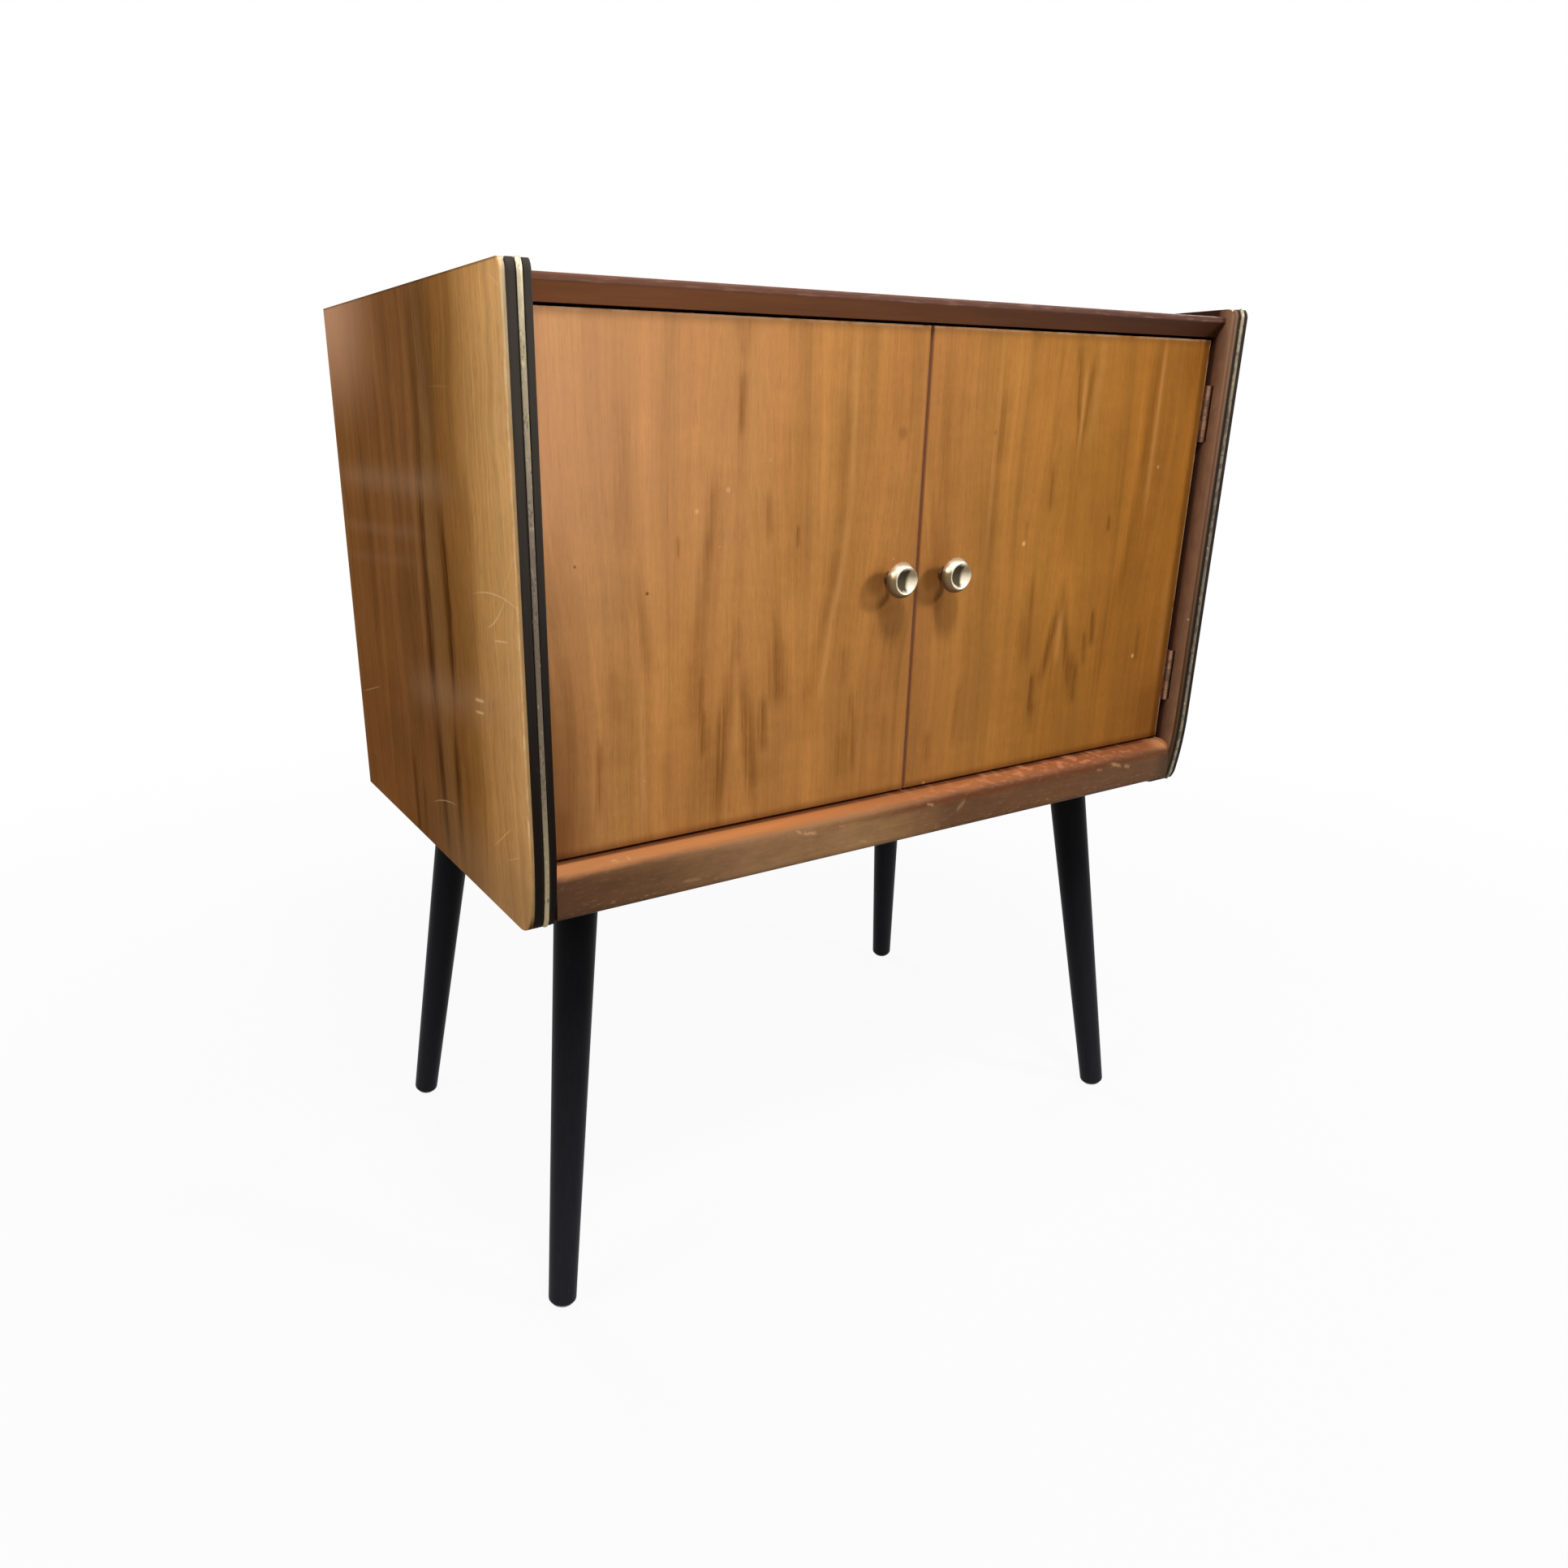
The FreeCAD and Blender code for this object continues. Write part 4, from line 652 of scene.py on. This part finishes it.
def side_reveal(f, broad, lines):
    """Dark stain on the inner face, with painted shade that darkens it towards the door, a painted
    shadow line beside the door, a painted highlight along its front lip, and pale nicks.
    """
    # painted shade: darker deeper in the recess, towards the door
    depth = f.between(f.y, SIDE_FRONT, SIDE_FRONT + 16)
    colour = f.mix(depth, paint(132, 98, 74), paint(86, 54, 38))
    mottle = f.noise(f.y / 5, f.z / 14, 31, detail=3, roughness=0.65)
    colour = f.vary(colour, (broad, 0.28), (lines, 0.14), (mottle, 0.34))
    # painted shadow line beside the door
    shade_beside_door = f.between(f.y, DOOR_FRONT - 4, DOOR_FRONT - 1)
    colour = f.mix(shade_beside_door * 0.8, colour, paint(44, 24, 16))
    # painted highlight: light caught along the front lip
    painted_highlight_lip = f.between(f.y, SIDE_FRONT + 3, SIDE_FRONT + 0.8) * f.between(f.z, 460, 690)
    colour = f.mix(painted_highlight_lip * 0.45, colour, paint(168, 130, 104))
    return f.mix(f.dots(f.y, f.z, SIDE_NICKS), colour, paint(196, 164, 130))


def side_edges(f, colour, inside):
    """The board's edges between its two faces, pale in front, and their worn arrises."""
    skin = f.between(abs(f.x), SIDE_OUTER - 0.9, SIDE_OUTER - 0.7)
    front = f.between(f.y, SIDE_FRONT + 9, SIDE_FRONT + 2)
    core = f.mix(front, paint(92, 60, 36), f.ramp(f.z, SIDE_EDGE_TONES))
    core = f.vary(core, (f.noise(f.x / 2, f.y / 9, f.z / 9, detail=3), 0.3))
    colour = f.mix(f.between(skin + inside, 0.4, 0.6), core, colour)
    worn = f.between(f.y, SIDE_FRONT + 1.4, SIDE_FRONT + 0.2) * skin
    patchy = f.between(f.noise(f.y / 3, f.z / 11, 5, detail=3), 0.44, 0.62)
    colour = f.mix(worn * patchy * 0.7, colour, paint(212, 178, 132))
    top_arris = skin * f.between(f.z, SIDE_TOP - 1.8, SIDE_TOP - 0.4)
    return f.mix(top_arris * 0.7, colour, paint(66, 42, 26))


def rail_grain(name):
    """Solid stained rail with its grain along X: its finish, broad bands and fine lines."""
    f = Finish(name, Specular_IOR_Level=0.06)
    around = f.y * 0.6 + f.z
    broad = f.noise(f.x / 150, around / 7, 3.3, detail=3, roughness=0.6)
    lines = f.noise(f.x / 60, around / 1.2, 8.1, detail=3, roughness=0.65)
    return f, broad, lines


def top_rail_finish():
    """Dark stain, darker to the right, with a greyer pink painted highlight along the nose and paler
    rubbed patches on it.
    """
    f, broad, lines = rail_grain("top_rail_stain")
    colour = f.ramp(f.x, [(-288, paint(152, 98, 62)), (288, paint(70, 39, 25))])
    colour = f.vary(colour, (broad, 0.28), (lines, 0.16))
    nose = f.between(f.z, TOP_RAIL_TOP - 5.2, TOP_RAIL_TOP - 3.4)
    nose = nose * f.between(f.y, TOP_RAIL_FRONT + 2.6, TOP_RAIL_FRONT + 1)
    # painted highlight: the nose's rounded top made greyer and pinker where light catches it
    colour = f.mix(nose * 0.8, colour, paint(90, 60, 52))
    rub = f.between(f.noise(f.x / 14, f.z / 2, 2, detail=3), 0.5, 0.7) * nose
    colour = f.mix(rub * 0.14, colour, paint(196, 156, 136))
    return f.done(colour, 0.34 + 0.14 * broad, lines, 0.04)


# Tones of the bottom rail's face and of its rounded nose, lighter as a painted highlight, from left
# to right: x, colour.
RAIL_FACE_TONES = [
    (-288, paint(84, 55, 37)),
    (-220, paint(100, 70, 45)),
    (-150, paint(132, 97, 66)),
    (-40, paint(142, 106, 69)),
    (40, paint(96, 64, 41)),
    (150, paint(100, 66, 40)),
    (288, paint(94, 64, 43)),
]
RAIL_NOSE_HIGHLIGHT_TONES = [
    (-288, paint(194, 130, 80)),
    (-120, paint(178, 113, 65)),
    (60, paint(158, 97, 56)),
    (180, paint(144, 84, 49)),
    (288, paint(122, 70, 39)),
]
# Chips in the bottom rail: x and height of each end, width, bow, strength.
RAIL_CHIPS = [
    (-107, 351, -101, 347.5, 0.8, 0, 0.9),
    (-103, 348, -88, 346, 1.2, 0, 1),
    (-248, 356, -243, 355, 0.8, 0, 0.9),
    (-237, 356, -234, 355, 0.8, 0, 0.7),
    (12, 349.5, 20, 347.5, 1, 0, 0.7),
    (42, 339, 52, 346, 2.2, 0, 0.45),
    (196, 346.5, 205, 345.5, 1.1, 0, 0.45),
    (213, 349.5, 229, 344.5, 1.3, 0, 0.8),
    (230, 345, 239, 342.5, 1.5, 0, 0.7),
    (-52, 332.5, -43, 331, 1.1, 0, 0.5),
    (-71, 347.5, -64, 346.5, 0.8, 0, 0.4),
    (-200, 333, -182, 331.5, 0.9, 0, 0.4),
]


def bottom_rail_finish():
    """Rounded nose in warm tones lightened as a painted highlight, a painted shade line under it,
    and a worn and mottled face below.
    """
    f, broad, lines = rail_grain("bottom_rail_stain")
    mottle = f.noise(f.x / 26, f.z / 9, 12, detail=4, roughness=0.65)
    above = f.z - (BOTTOM_RAIL_TOP - 5.5 + (mottle - 0.5) * 5)
    nose = f.between(above, -2.5, 2.5)
    face = f.vary(f.ramp(f.x, RAIL_FACE_TONES), (lines, 0.16), (mottle, 0.38))
    colour = f.mix(nose, face, rail_nose(f, broad))
    shade = f.stroke(f.x, above, (-900, -3.4), (900, -3.4), 2.6) * f.between(f.x, -140, 40)
    colour = f.mix(shade * 0.85, colour, paint(94, 50, 26))
    colour, chips = rail_wear(f, colour, nose)
    return f.done(colour, 0.36 + 0.2 * mottle, lines - chips * 2, 0.05)


def rail_nose(f, broad):
    """The nose's stain, lightened and warmed as a painted highlight, with painted shade where it
    meets the doors.
    """
    colour = f.tint(f.ramp(f.x, RAIL_NOSE_HIGHLIGHT_TONES), 0.62 + 0.46 * broad)
    # painted shade where the nose meets the doors
    shade_beside_door = f.between(f.y, DOOR_FRONT - 4.6, DOOR_FRONT - 1.6)
    return f.mix(shade_beside_door * 0.85, colour, paint(84, 44, 26))


def rail_wear(f, colour, nose):
    """Scuffs, chips, rubbed stain on the nose's right half, a painted highlight on its right tip, a
    darker lower edge and a painted shadow in the right corner; also the chips' mask.
    """
    scuffs = f.between(f.noise(f.x / 7, f.z / 2.2, 6, detail=4, roughness=0.7), 0.54, 0.72)
    foot = f.between(f.z, BOTTOM_RAIL_TOP - 21, BOTTOM_RAIL_TOP - 29)
    colour = f.mix(scuffs * (0.18 - 0.12 * nose + 0.3 * foot), colour, paint(172, 134, 98))
    jag = (f.noise(f.x / 3, f.z / 2, 17, detail=3, roughness=0.7) - 0.5) * 4
    chips = f.strokes(f.x + jag, f.z + jag, RAIL_CHIPS)
    colour = f.mix(chips * 0.6, colour, paint(196, 150, 110))
    rubbed = f.between(f.noise(f.x / 9, f.z / 2.2 + f.x / 30, 9, detail=3), 0.5, 0.66)
    right_half = f.between(f.x, -120, 160) * nose * f.between(f.x, 300, 190)
    colour = f.mix(rubbed * right_half * 0.42, colour, paint(200, 132, 96))
    # painted highlight on the rounded right end of the nose
    right_tip_highlight = f.between(f.x, 262, 284) * nose
    colour = f.mix(right_tip_highlight * 0.6, colour, paint(190, 132, 86))
    dark_lower_edge = f.between(f.z, BOTTOM_RAIL_TOP - 28, BOTTOM_RAIL_TOP - 32)
    colour = f.mix(dark_lower_edge * 0.4, colour, paint(60, 40, 26))
    # painted shadow in the corner beside the right side panel
    corner_shadow = f.between(f.x, 266, 284) * f.between(f.z, BOTTOM_RAIL_TOP - 6, BOTTOM_RAIL_TOP - 14)
    return f.mix(corner_shadow * 0.6, colour, paint(54, 42, 28)), chips


def carcass_board(name, light, dark, along_x):
    """Plain stained board or ply inside and on top, its grain along X or Z."""
    f = Finish(name, Specular_IOR_Level=0.1)
    if along_x:
        along, across = f.x, f.y + f.z * 0.5
    else:
        along, across = f.z, f.y + f.x * 0.5
    across = across + (f.noise(along / 160, across / 50, 2.9, detail=2) - 0.5) * 22
    broad = f.noise(along / 420, across / 18, 1.3, detail=3, roughness=0.6)
    lines = f.noise(along / 240, across / 3, 6.6, detail=3, roughness=0.65)
    fibre, pores = fine_grain(f, across, along, 4.4)
    colour = f.vary(f.mix(f.between(broad, 0.3, 0.7), dark, light), (lines, 0.18))
    colour = f.mix(pores * 0.35, colour, paint(74, 44, 22))
    rough = 0.4 + 0.16 * f.grains(90, detail=2)
    return f.done(colour, rough, lines * 0.4 + fibre * 0.4 - pores * 0.6, 0.06)


def hardboard():
    """Pressed fibre board with a smooth dark face and a soft mottle."""
    f = Finish("hardboard", Specular_IOR_Level=0.25)
    fibres = f.grains(2.2, detail=5, roughness=0.75, distortion=1.2)
    mottle = f.noise(f.x / 70, f.y / 70, f.z / 50, detail=4)
    colour = f.mix(f.between(fibres, 0.3, 0.7), paint(106, 74, 46), paint(164, 124, 84))
    colour = f.vary(colour, (mottle, 0.3))
    rims = f.between(abs(f.x), 235, 290) + f.between(f.z, 400, 350) * 0.6
    colour = f.mix(rims * 0.3, colour, paint(74, 50, 32))
    scuffs = f.between(f.noise(f.x / 30, f.z / 5, 8, detail=4, roughness=0.7), 0.62, 0.72)
    colour = f.mix(scuffs * 0.35, colour, paint(186, 150, 110))
    return f.done(colour, 0.62 + 0.2 * fibres, fibres, 0.12)


def beech():
    """Pale bare beech with its fine rays."""
    f = Finish("beech")
    rays = f.noise(f.x / 8, f.y / 1.2, f.z / 1.2, detail=3)
    colour = f.mix(rays, paint(176, 132, 88), paint(206, 166, 118))
    return f.done(colour, 0.45 + 0.2 * rays, rays, 0.04)


# ---------------------------------------------------------------- trim, legs and fittings
def edging_finish():
    """Black plastic moulding, greyer towards the top and scuffed on its edges, with painted shadow
    beside the bead and a painted reflection on the right inner lip.
    """
    f = Finish("black_moulding", Specular_IOR_Level=0.04)
    streaky = f.noise(f.x / 1.4, f.y / 6, f.z / 40, detail=3, roughness=0.6)
    height = f.between(f.z, 360, 690)
    colour = f.vary(f.mix(height, paint(20, 14, 10), paint(62, 56, 51)), (streaky, 0.25))
    # painted shadow in the grooves beside the bead
    bead_groove_shadow = f.between(abs(abs(f.x) - BEAD_MIDDLE), 3.4, 2.1)
    colour = f.mix(bead_groove_shadow * 0.6, colour, paint(40, 32, 20))
    colour = f.mix(right_hand(f) * 0.8, colour, paint(30, 20, 12))
    # painted reflection of light on the right moulding's inner lip, paler towards the top
    inner_lip_reflection = f.between(f.x, SIDE_INNER + 3, SIDE_INNER + 0.4) * right_hand(f)
    colour = f.mix(inner_lip_reflection * 0.85, colour, f.mix(height, paint(84, 58, 38), paint(132, 100, 78)))
    spots = f.between(f.noise(f.x / 1.1, f.y / 1.1, f.z / 3.4, detail=4, roughness=0.7), 0.66, 0.78)
    colour = f.mix(spots * 0.5, colour, paint(150, 138, 112))
    return f.done(colour, 0.36 + 0.22 * streaky, streaky - spots, 0.05)


# Tone of the gilding up the front edge, its top stops lighter as a painted highlight: height,
# colour.
GILT_TONES = [
    (320, paint(176, 158, 122)),
    (360, paint(150, 136, 108)),
    (420, paint(116, 102, 84)),
    (500, paint(106, 92, 78)),
    (560, paint(120, 106, 92)),
    (610, paint(152, 138, 116)),
    (660, paint(164, 150, 122)),
    (690, paint(208, 194, 160)),
]


def gilt_finish():
    """Thin gilding over the bead, with a painted highlight at the top, rubbed lower down and broken
    on the right, and painted shade on its sides.
    """
    f = Finish("worn_gilt", Specular_IOR_Level=0.25)
    fine = f.noise(f.x / 0.9, f.y / 0.9, f.z / 2.6, detail=4, roughness=0.75)
    patches = f.noise(f.x / 4, f.y / 4, f.z / 16, detail=3)
    gold = f.ramp(f.z + (patches - 0.5) * 50, GILT_TONES)
    gold = f.mix(right_hand(f) * 0.6, gold, paint(112, 100, 82))
    gold = f.vary(gold, (patches, 0.3))
    # painted shade on the bead's sides, beside the grooves
    flank_shade = f.between(abs(abs(f.x) - BEAD_MIDDLE), 1.4, 1.8)
    gold = f.mix(flank_shade * 0.8, gold, paint(48, 40, 26))
    bare = f.between(fine + (patches - 0.5) * 0.6, 0.56, 0.7)
    colour = f.mix(bare * 0.7, gold, paint(58, 48, 38))
    glints = f.between(f.noise(f.x / 1.2, f.y / 1.2, f.z / 4, detail=3), 0.62, 0.72)
    colour = f.mix(glints * 0.45, colour, paint(226, 206, 158))
    breaks = f.between(f.noise(f.x / 4, f.y / 9, f.z / 4.5, detail=2, roughness=0.4), 0.5, 0.58)
    colour = f.mix(breaks * right_hand(f) * 0.6, colour, paint(54, 46, 34))
    return f.done(colour, 0.34 + 0.3 * bare, fine - bare, 0.08, metallic=0.45 - bare * 0.4)


def leg_finish():
    """Black lacquer on turned legs: faint run of the grain, dust and a few rubs near the feet."""
    f = Finish("black_lacquer", Specular_IOR_Level=0.04)
    run = f.noise(f.x / 2.4, f.y / 2.4, f.z / 120, detail=3, roughness=0.6)
    down = f.between(f.z, 330, 0)
    colour = f.mix(run, f.mix(down, paint(3, 3, 4), paint(26, 26, 29)),
                   f.mix(down, paint(12, 12, 14), paint(38, 38, 43)))
    dust = f.between(f.noise(f.x / 1.6, f.y / 1.6, f.z / 2.4, detail=4, roughness=0.7), 0.64, 0.76)
    feet = 0.12 + 0.5 * f.between(f.z, 90, 8)
    colour = f.mix(dust * feet, colour, paint(104, 100, 98))
    return f.done(colour, 0.32 + 0.2 * run, run - dust, 0.04)


def metal(name, bright, dull, metallic=1, size=1.2, rough=0.32):
    """Metal with a patchy tarnish, whose speckle has a size in mm."""
    f = Finish(name, Metallic=metallic)
    speckle = f.grains(size, detail=4, roughness=0.65)
    patches = f.grains(9, detail=3)
    tarnish = f.between(speckle * 0.5 + patches * 0.5, 0.4, 0.62)
    colour = f.mix(tarnish, bright, dull)
    return f.done(colour, rough + 0.25 * tarnish, speckle, 0.02)


def plain(name, light, dark, rough=0.5):
    """Moulded plastic or ferrite with a fine mottle."""
    f = Finish(name, Specular_IOR_Level=0.4)
    mottle = f.grains(3, detail=4, roughness=0.6)
    return f.done(f.mix(mottle, dark, light), rough - 0.08 + 0.16 * mottle, mottle, 0.04)


def pull_finish(name, centre_x, centre_z):
    """Polished pale metal, with painted reflections of the wooden door on its lower left and of the
    dark room in its dish, and painted shade on its face's right and on its neck.
    """
    f = Finish(name, Specular_IOR_Level=0)
    across = f.x - centre_x
    up = f.z - centre_z
    out = (across ** 2 + up ** 2) ** 0.5
    speckle = f.grains(1.3, detail=4, roughness=0.7)
    patches = f.grains(5, detail=2) - 0.5
    head = f.between(f.y, DOOR_FRONT - 7, DOOR_FRONT - 9)
    # painted reflection of the wooden door on the lower left of the head
    wood_reflection = f.between(across * 0.35 + up + patches * 6, 3, -2) * f.between(out, 8.6, 9.6)
    shaded = f.between(across - up * 0.2, -1, 5) * f.between(up, -3, 4)
    # painted reflection of the dark room in the left of the dish
    dark_dish_reflection = f.between(out + patches * 4, 8.6, 6.8) * f.between(across - up * 0.15, 5, 1.5)

    colour = f.mix(speckle, paint(250, 240, 218), paint(226, 210, 178))
    colour = f.mix(wood_reflection * 0.92, colour, paint(108, 84, 50))
    colour = f.mix(shaded * 0.9, colour, paint(124, 102, 66))
    colour = f.mix(dark_dish_reflection * head * 0.96, colour, paint(56, 46, 28))
    # painted shade on the neck behind the head
    colour = f.mix(1 - head, colour, paint(84, 60, 38))
    metallic = 0.85 - 0.8 * dark_dish_reflection * head - 0.3 * wood_reflection
    return f.done(colour, 0.2 + 0.16 * speckle + 0.2 * dark_dish_reflection, speckle, 0.03, metallic)


dress(door_veneer("left_door_walnut", -CROWN, 0.4, LEFT_FIGURE), "left_door")
dress(door_veneer("right_door_walnut", CROWN, 0.65, RIGHT_FIGURE), "right_door")
dress(side_veneer("left_side_walnut", 1.7, 1), "left_side_panel")
dress(side_veneer("right_side_walnut", 3.1, 0.15), "right_side_panel")
dress(top_rail_finish(), "top_rail")
dress(bottom_rail_finish(), "bottom_rail")
dress(carcass_board("top_walnut", paint(172, 118, 66), paint(124, 78, 40), True), "top_panel")
dress(carcass_board("carcass_ply", paint(150, 108, 66), paint(116, 78, 46), True), "bottom_panel")
dress(carcass_board("divider_ply", paint(168, 126, 80), paint(128, 88, 52), False),
      "left_divider", "right_divider")
dress(hardboard(), "back_panel")
dress(beech(), "carcass_dowels", "glue_blocks")
dress(edging_finish(), "left_edging_strip", "right_edging_strip")
dress(gilt_finish(), "left_edging_bead", "right_edging_bead")
dress(leg_finish(), *ending("_leg"))
dress(metal("hinge_brass", paint(150, 112, 88), paint(92, 66, 48), 0.7),
      *ending("_leaf"), "hinge_pins")
dress(metal("screw_steel", paint(184, 180, 172), paint(112, 102, 90)),
      *ending("_screw", "_screws"), "back_panel_pins", "hanger_bolts")
dress(metal("plate_steel", paint(150, 148, 142), paint(92, 84, 74), size=3, rough=0.42),
      *ending("_leg_plate"), "foot_glides")
dress(metal("catch_steel", paint(190, 188, 182), paint(140, 134, 124)),
      "catch_pole_plates", "left_strike_plate", "right_strike_plate")
dress(plain("catch_plastic", paint(196, 186, 160), paint(170, 158, 132)),
      "left_catch_case", "right_catch_case")
dress(plain("ferrite", paint(62, 60, 60), paint(42, 40, 40), 0.7), "catch_magnets")


# ---------------------------------------------------------------- turned pulls
# Outline of a pull from its foot to the bottom of its dish: radius and distance from the door, mm.
PULL_OUTLINE = [
    (5.2, 0), (5.2, 0.5), (4.8, 1.2), (4.4, 2), (4.2, 4), (4.6, 6.6), (6.4, 8.2),
    (9.4, 9.2), (11.4, 10.3), (12.3, 11.8), (12.4, 13.2), (11.9, 14.7), (11.1, 16.2),
    (10.3, 17.4), (9.5, 18.1), (8.6, 18.1), (7.8, 17.3), (6.4, 15.9), (4.6, 14.9),
    (2.4, 14.4), (1, 14.3),
]
PULL_FACETS = 40
PULL_DROP = 2  # the pull's axis below the CAD knob's, mm


def deselect():
    """Leave nothing selected."""
    for thing in bpy.data.objects:
        thing.select_set(False)


def turned_pull():
    """A round pull about the Y axis, facing -Y: one edge stepped outwards and inwards in turn."""
    radius, reach = PULL_OUTLINE[0]
    deselect()
    bpy.ops.mesh.primitive_circle_add(vertices=PULL_FACETS, radius=radius * MM, fill_type="NGON",
                                      location=(0, 0, 0), rotation=(math.pi / 2, 0, 0))
    piece = bpy.context.object
    bpy.ops.object.transform_apply(location=True, rotation=True, scale=True)
    bpy.ops.object.mode_set(mode="EDIT")
    bpy.ops.mesh.select_all(action="SELECT")
    for next_radius, next_reach in PULL_OUTLINE[1:]:
        step = (0, -(next_reach - reach) * MM, 0)
        bpy.ops.mesh.extrude_region_move(TRANSFORM_OT_translate={"value": step})
        grow = next_radius / radius
        bpy.ops.transform.resize(value=(grow, 1, grow), center_override=(0, -next_reach * MM, 0))
        radius, reach = next_radius, next_reach
    bpy.ops.mesh.select_all(action="SELECT")
    bpy.ops.mesh.normals_make_consistent(inside=False)
    bpy.ops.object.mode_set(mode="OBJECT")
    smooth = piece.modifiers.new("smooth", "SUBSURF")
    smooth.levels = smooth.render_levels = 2
    bpy.ops.object.modifier_apply(modifier=smooth.name)
    bpy.ops.object.shade_smooth()
    return piece


pull = turned_pull()
for side in ("left", "right"):
    low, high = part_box(f"{side}_knob")
    centre = (low + high) / 2
    seat = Vector((centre.x, high.y, centre.z - PULL_DROP * MM))
    piece = bpy.data.objects.new(f"{side}_turned_pull", pull.data.copy())
    scene.collection.objects.link(piece)
    piece.data.transform(Matrix.Translation(seat))
    piece.data.materials.clear()
    piece.data.materials.append(pull_finish(f"{side}_pull_metal", seat.x / MM, seat.z / MM))
    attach(piece, f"{side}_door_body")
    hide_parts(f"{side}_knob")
bpy.data.objects.remove(pull)


# ---------------------------------------------------------------- studio
WHITE = (1, 1, 1, 1)
FLOOR_SIZE = 60  # m
FLOOR_GREY = (0.42, 0.42, 0.42, 1)
FADE_START, FADE_END = 0.3, 1.8  # where the floor turns white, m from the middle
NEAR_WHITE = 0.93  # its share of plain white under the cabinet
AROUND = (0.09, 0.09, 0.09, 1)  # the even light
DOORS_MIDDLE = (0, -0.17, 0.52)
# Lamps: name, place, where it is aimed, width and height, all in m, and watts.
LAMPS = [
    ("ceiling_softbox", (-0.26, -0.96, 2.08), DOORS_MIDDLE, (0.3, 0.3), 28),
    ("right_softbox", (1.05, -1.4, 1.35), DOORS_MIDDLE, (0.28, 0.28), 19),
    ("left_softbox", (-2.2, -0.3, 1.6), (-0.3, 0, 0.5), (0.9, 0.9), 29),
    ("far_side_softbox", (2.4, 0.5, 1.6), (0.3, 0, 0.5), (0.9, 0.9), 26),
    ("back_softbox", (-0.3, 2.6, 1.5), (0, 0.18, 0.5), (1, 1), 42),
]


def floor_material():
    """White floor that keeps a faint shadow and shows white to the camera, metal and glass."""
    material = bpy.data.materials.new("studio_floor")
    material.use_nodes = True
    material.node_tree.nodes.clear()
    shading = Shading(material.node_tree)
    place = shading.node("ShaderNodeTexCoord", output="Object")
    away = shading.node("ShaderNodeVectorMath", {"operation": "LENGTH"}, [place], output="Value")
    fade = shading.between(away, FADE_START, FADE_END, NEAR_WHITE)
    matt = shading.node("ShaderNodeBsdfDiffuse", {}, {"Color": FLOOR_GREY})
    white = shading.node("ShaderNodeEmission", {}, {"Color": WHITE, "Strength": 1})
    surface = shading.node("ShaderNodeMixShader", {}, (shading.seen_rays() * fade, matt, white))
    shading.node("ShaderNodeOutputMaterial", {}, {"Surface": surface})
    return material


def studio_world():
    """Dim even light all round, and white to the camera, metal and glass."""
    world = bpy.data.worlds.new("studio")
    world.use_nodes = True
    world.node_tree.nodes.clear()
    shading = Shading(world.node_tree)
    around = shading.node("ShaderNodeBackground", {}, {"Color": AROUND})
    white = shading.node("ShaderNodeBackground", {}, {"Color": WHITE})
    surface = shading.node("ShaderNodeMixShader", {}, (shading.seen_rays(), around, white))
    shading.node("ShaderNodeOutputWorld", {}, {"Surface": surface})
    return world


def soft_lamp(name, place, target, size, watts):
    """An area lamp aimed at a target."""
    lamp = bpy.data.lights.new(name, "AREA")
    lamp.shape = "RECTANGLE"
    lamp.size, lamp.size_y = size
    lamp.energy = watts
    holder = bpy.data.objects.new(name, lamp)
    scene.collection.objects.link(holder)
    holder.location = place
    aim = Vector(target) - Vector(place)
    holder.rotation_euler = aim.to_track_quat("-Z", "Y").to_euler()


scene.world = studio_world()
for lamp in LAMPS:
    soft_lamp(*lamp)

deselect()
bpy.ops.mesh.primitive_plane_add(size=FLOOR_SIZE, location=(0, 0, 0))
floor = bpy.context.object
floor.name = "studio_floor"
floor.data.materials.append(floor_material())

# ---------------------------------------------------------------- camera
# The lens in pixels of a square frame, the place in metres and the turns in radians.
FRAME_PX = 1932
FOCAL_PX = 1375.932
CENTRE_PX = (859.409, 990.162)
SENSOR_MM = 36
CAMERA_PLACE = (-0.53718, -0.76869, 0.62469)
YAW, PITCH, ROLL = 0.5376, -0.3367, 0.0016

forward = Vector((math.sin(YAW) * math.cos(PITCH), math.cos(YAW) * math.cos(PITCH), math.sin(PITCH)))
level = Vector((math.cos(YAW), -math.sin(YAW), 0))
upward = level.cross(forward)
right = math.cos(ROLL) * level + math.sin(ROLL) * upward
top = math.cos(ROLL) * upward - math.sin(ROLL) * level

lens = bpy.data.cameras.new("camera")
lens.sensor_width = SENSOR_MM
lens.lens = SENSOR_MM * FOCAL_PX / FRAME_PX
lens.shift_x = (FRAME_PX / 2 - CENTRE_PX[0]) / FRAME_PX
lens.shift_y = (CENTRE_PX[1] - FRAME_PX / 2) / FRAME_PX
camera = bpy.data.objects.new("camera", lens)
scene.collection.objects.link(camera)
turn = Matrix((right, top, -forward)).transposed().to_4x4()
camera.matrix_world = Matrix.Translation(CAMERA_PLACE) @ turn
scene.camera = camera
scene.view_settings.view_transform = "Standard"
